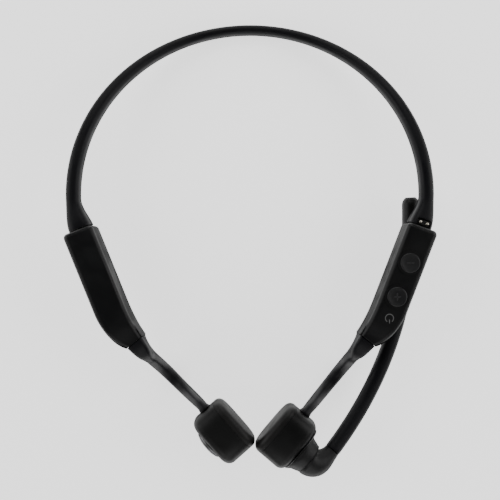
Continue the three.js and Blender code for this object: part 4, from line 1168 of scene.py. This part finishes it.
def boom_hub():
    place = drum_matrix(1) @ Matrix.Translation(Vector((-HUB_FORWARD, 0, 0)))
    base = DRUM_BACK - GAP
    skirt = base - HUB_SKIRT
    top = skirt - HUB_HEIGHT
    spigot = HUB_TOP_RADIUS - HUB_STEP
    bore = PIVOT_RADIUS + RUNNING_GAP
    hub = skinned_rings("boom_hub", [
        oval(DRUM_BACK + DRUM_WALL, bore),
        oval(DRUM_BACK + DRUM_WALL, spigot),
        oval(base, spigot),
        oval(base, HUB_BASE_RADIUS + HUB_FOOT, HUB_BASE_RADIUS - HUB_FOOT_TRIM, 2.3),
        oval(mix(base, skirt, 0.5), HUB_BASE_RADIUS + 0.55, HUB_BASE_RADIUS - 0.15, 2.1),
        oval(skirt, HUB_BASE_RADIUS),
        oval(mix(skirt, top, 0.33), mix(HUB_BASE_RADIUS, HUB_TOP_RADIUS, 0.38)),
        oval(mix(skirt, top, 0.66), mix(HUB_BASE_RADIUS, HUB_TOP_RADIUS, 0.7)),
        *round_edge(top, -1, HUB_TOP_RADIUS, HUB_TOP_RADIUS, 2, 0.15, 4)[::-1],
        oval(top, 4.0),
        oval(top + 1.2, 4.0),
        oval(top + 1.2, bore),
    ], LOOKS["elbow_grey"], loop=True, place=place)
    attach(hub, "right_side", "elbow_grey", "boom_hub")
    # Painted highlight: this grey metal ring over the edge of the drum's outer face, round the
    # hub's foot, stands in for the light line of the highlight along that edge. It is not a real
    # trim part.
    half_l, half_h = DRUM_LENGTH / 2 - OUTER_ROUNDING + 1.2, DRUM_HEIGHT / 2 - OUTER_ROUNDING + 1.2
    inner_l, inner_h = HUB_BASE_RADIUS - 0.6, HUB_BASE_RADIUS - 1.2
    low, high = DRUM_BACK - HAIRLINE, base + HAIRLINE
    highlight_ring = skinned_rings("boom_hub_highlight_ring", [
        oval(low, inner_l, inner_h, 2.3, -HUB_FORWARD), oval(low, half_l, half_h, DRUM_POWER),
        oval(mix(low, high, 0.7), half_l, half_h, DRUM_POWER),
        oval(high, half_l - 0.08, half_h - 0.08, DRUM_POWER),
        oval(high, inner_l, inner_h, 2.3, -HUB_FORWARD),
    ], LOOKS["rim_grey"], loop=True, place=drum_matrix(1))
    attach(highlight_ring, "right_side", "rim_grey")


def boom_point(outward, rearward, z):
    point = drum_centre(1) + outward * drum_outward(1) + rearward * drum_rearward(1)
    return Vector((point.x, point.y, z))


def boom():
    seam = -DRUM_BACK + GAP + HUB_SKIRT + HUB_HEIGHT
    start = boom_point(ARM_OFFSET, 6.5, DRUM.z - 0.6)
    bend = bezier(
        boom_point(seam + RUNNING_GAP, -HUB_FORWARD, DRUM.z),
        boom_point(seam + GAP + 3.4, -HUB_FORWARD, DRUM.z),
        boom_point(ARM_OFFSET, 2.9, DRUM.z),
        start,
    )

    def elbow_section(distance, length):
        share = smooth(distance, length)
        edge = 1 - 0.04 * smooth(distance, 0.4)
        return (mix(ARM_WIDTH / 2, HUB_TOP_RADIUS, share) * edge,
                mix(ARM_HEIGHT / 2, HUB_TOP_RADIUS, share) * edge, 2, 0, 0)

    look = LOOKS["elbow_grey"]
    elbow = swept("boom_elbow", bend, elbow_section, look, 72, 64, 0.3)
    pivot = drum_matrix(1) @ Matrix.Translation(Vector((-HUB_FORWARD, 0, 0)))
    bore = PIVOT_RADIUS + RUNNING_GAP
    cut(elbow, look, skinned_rings("bore", [
        oval(-seam - GAP - PIVOT_REACH - RUNNING_GAP, bore, sides=48),
        oval(-seam + 1, bore, sides=48),
    ], look, place=pivot))
    attach(elbow, "boom", "elbow_grey", "boom_elbow")

    under_pod = POD_REAR.z - TIP_HEIGHT / 2 - 2 * GAP
    reach = bezier(start, boom_point(ARM_OFFSET, 36, under_pod - 0.4),
                   boom_point(5.4, 66, under_pod - 1.4), boom_point(-20, 93, under_pod), 160)
    length = distances(reach)[-1]

    def arm_section(distance, total):
        edge = 1 - 0.05 * (smooth(distance, 0.3) + smooth(total - distance, 0.3))
        return ARM_WIDTH / 2 * edge, ARM_HEIGHT / 2 * edge, 2.3, 0, 0

    arm = swept("boom_arm", portion(reach, HAIRLINE * 2 / length, ARM_SHARE, 120), arm_section,
                LOOKS["soft_touch_black"], 130, 56)
    attach(arm, "boom", "soft_touch_black", "boom_arm")

    def tip_section(distance, total):
        growth = 1 - smooth(distance, total * 0.35)
        half = mix(ARM_WIDTH, TIP_WIDTH, growth) / 2
        left = total - distance
        nose = half * 0.9
        round_off = math.sqrt(1 - 0.72 * (1 - left / nose) ** 2) if left < nose else 1
        return half * round_off, (half - 0.1) * round_off, 2.3, 0, 0

    tip_path = portion(reach, ARM_SHARE + HAIRLINE * 2 / length, 1, 160)
    forward = (tip_path[-1] - tip_path[-2]).normalized()
    look = LOOKS["shell_black"]
    tip = swept("mic_tip_housing", tip_path, tip_section, look, 110, 56, 0.8)
    turn = Vector((0, 0, 1)).rotation_difference(forward).to_matrix().to_4x4()
    nose = Matrix.Translation(tip_path[-1]) @ turn
    cut(tip, look, skinned_rings("bore", [
        oval(-4, MIC_RADIUS + RUNNING_GAP / 2, sides=48),
        oval(-0.15, MIC_RADIUS + RUNNING_GAP / 2, sides=48),
        oval(0.3, MIC_RADIUS + 0.5, sides=48),
    ], look, place=nose))
    attach(tip, "boom", "shell_black", "mic_tip_housing")
    mic_screen(nose)


def mic_screen(nose):
    """Woven wire in a thin ring, set just inside the port."""
    look = LOOKS["mic_mesh"]
    weave = new_object("weave", bpy.data.meshes.new("weave"))
    run_tree(weave, WOVEN_TREE, {"Radius": (MIC_RADIUS - 0.1) * MM, "Pitch": 0.00024,
                                 "Wire Radius": 0.00005, "Material": look})
    lift = Matrix.Translation(Vector((0, 0, -0.35)))
    move = Matrix.Translation(ARC_CENTRE) @ Matrix.Scale(MM, 4) @ nose @ lift @ Matrix.Scale(1 / MM,
                                                                                             4)
    weave.data.transform(move)
    ring = skinned_rings("ring", [
        oval(-0.2, MIC_RADIUS - 0.25, sides=48), oval(-0.2, MIC_RADIUS, sides=48),
        oval(-0.55, MIC_RADIUS, sides=48), oval(-0.55, MIC_RADIUS - 0.25, sides=48),
    ], look, loop=True, place=nose)
    attach(joined("mic_mesh", [weave, ring], look), "boom", "mic_mesh", "mic_mesh")


# ---------------------------------------------------------------- the whole headset

for side, sign in (("left", -1), ("right", 1)):
    half_band(sign, side)
    pod_tray(side, sign)
    pod_cover(side, sign)
    ear_hook(side, sign)
    contact_pad(side, sign)
drum_housing("left", -1, MAIN_KEY_RADIUS + 0.15, 0)
drum_housing("right", 1, HUB_TOP_RADIUS - HUB_STEP + HAIRLINE, -HUB_FORWARD)
multifunction_key()
for key, place in KEY_PLACES.items():
    volume_key(key, place)
power_mark()
charging_contacts()
boom_hub()
boom()

# The pieces inside keep their CAD shape and take their finish here.
INSIDE = {
    "battery_foil": ["battery_cell"],
    "circuit_board": ["battery_protection_board", "main_board"],
    "motor_steel": ["radio_shield", "volume_minus_switch", "volume_plus_switch",
                    "multifunction_switch",
                    "left_yoke", "right_yoke", "left_spring_plate", "right_spring_plate",
                    "boom_pivot_screw", "boom_friction_washer", "mic_capsule"],
    "magnet_nickel": ["left_magnet", "right_magnet"],
    "coil_copper": ["left_voice_coil", "right_voice_coil"],
}
for slot, names in INSIDE.items():
    for name in names:
        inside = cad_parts[name]
        inside.data.materials.clear()
        inside.data.materials.append(LOOKS[slot])


# ---------------------------------------------------------------- floor, light and camera

# The table is a light table: the paper on it glows softly from below.
TABLE_GLOW = 1.5


def paper_material():
    made, tree, surface = new_material("paper", 0.9, 0.0, 0.1)
    place = node(tree, "ShaderNodeTexCoord").outputs["Object"]
    fibre = node(tree, "ShaderNodeTexNoise", Vector=place, Scale=900.0, Detail=4.0).outputs[0]
    tone = blend_colour(tree, fibre, (0.9, 0.9, 0.9), (0.93, 0.93, 0.93))
    tree.links.new(tone, surface["Base Color"])
    tree.links.new(tone, surface["Emission Color"])
    surface["Emission Strength"].default_value = TABLE_GLOW
    return made


floor_mesh = bpy.data.meshes.new("floor")
floor_mesh.from_pydata([(-2, -2, 0), (2, -2, 0), (2, 2, 0), (-2, 2, 0)], [], [(0, 1, 2, 3)])
floor_mesh.materials.append(paper_material())
floor = new_object("floor", floor_mesh)


def soft_light(name, place, size, power):
    """A square soft box that faces the headset."""
    lamp = bpy.data.lights.new(name, "AREA")
    lamp.size = size
    lamp.energy = power
    made = bpy.data.objects.new(name, lamp)
    made.location = place
    made.rotation_euler = (-Vector(place)).to_track_quat("-Z", "Y").to_euler()
    bpy.context.scene.collection.objects.link(made)


soft_light("light_left", (-0.62, 0.1, 0.36), 0.6, 2.04)
soft_light("light_right", (0.62, 0.1, 0.36), 0.6, 2.04)
soft_light("light_front", (0, -0.62, 0.38), 0.6, 1.8)
soft_light("light_rear", (0, 0.62, 0.38), 0.6, 1.8)

world = bpy.data.worlds.new("studio")
world.use_nodes = True
world.node_tree.nodes["Background"].inputs["Color"].default_value = (1, 1, 1, 1)
world.node_tree.nodes["Background"].inputs["Strength"].default_value = 0.12
bpy.context.scene.world = world

lens = bpy.data.cameras.new("camera")
lens.lens = 61.4
lens.sensor_width = 36
lens.clip_start = 0.01
camera = bpy.data.objects.new("camera", lens)
camera.location = (-0.0001, -0.00138, 0.315)
camera.rotation_euler = (0, 0, math.radians(-0.5))
bpy.context.scene.collection.objects.link(camera)
bpy.context.scene.camera = camera
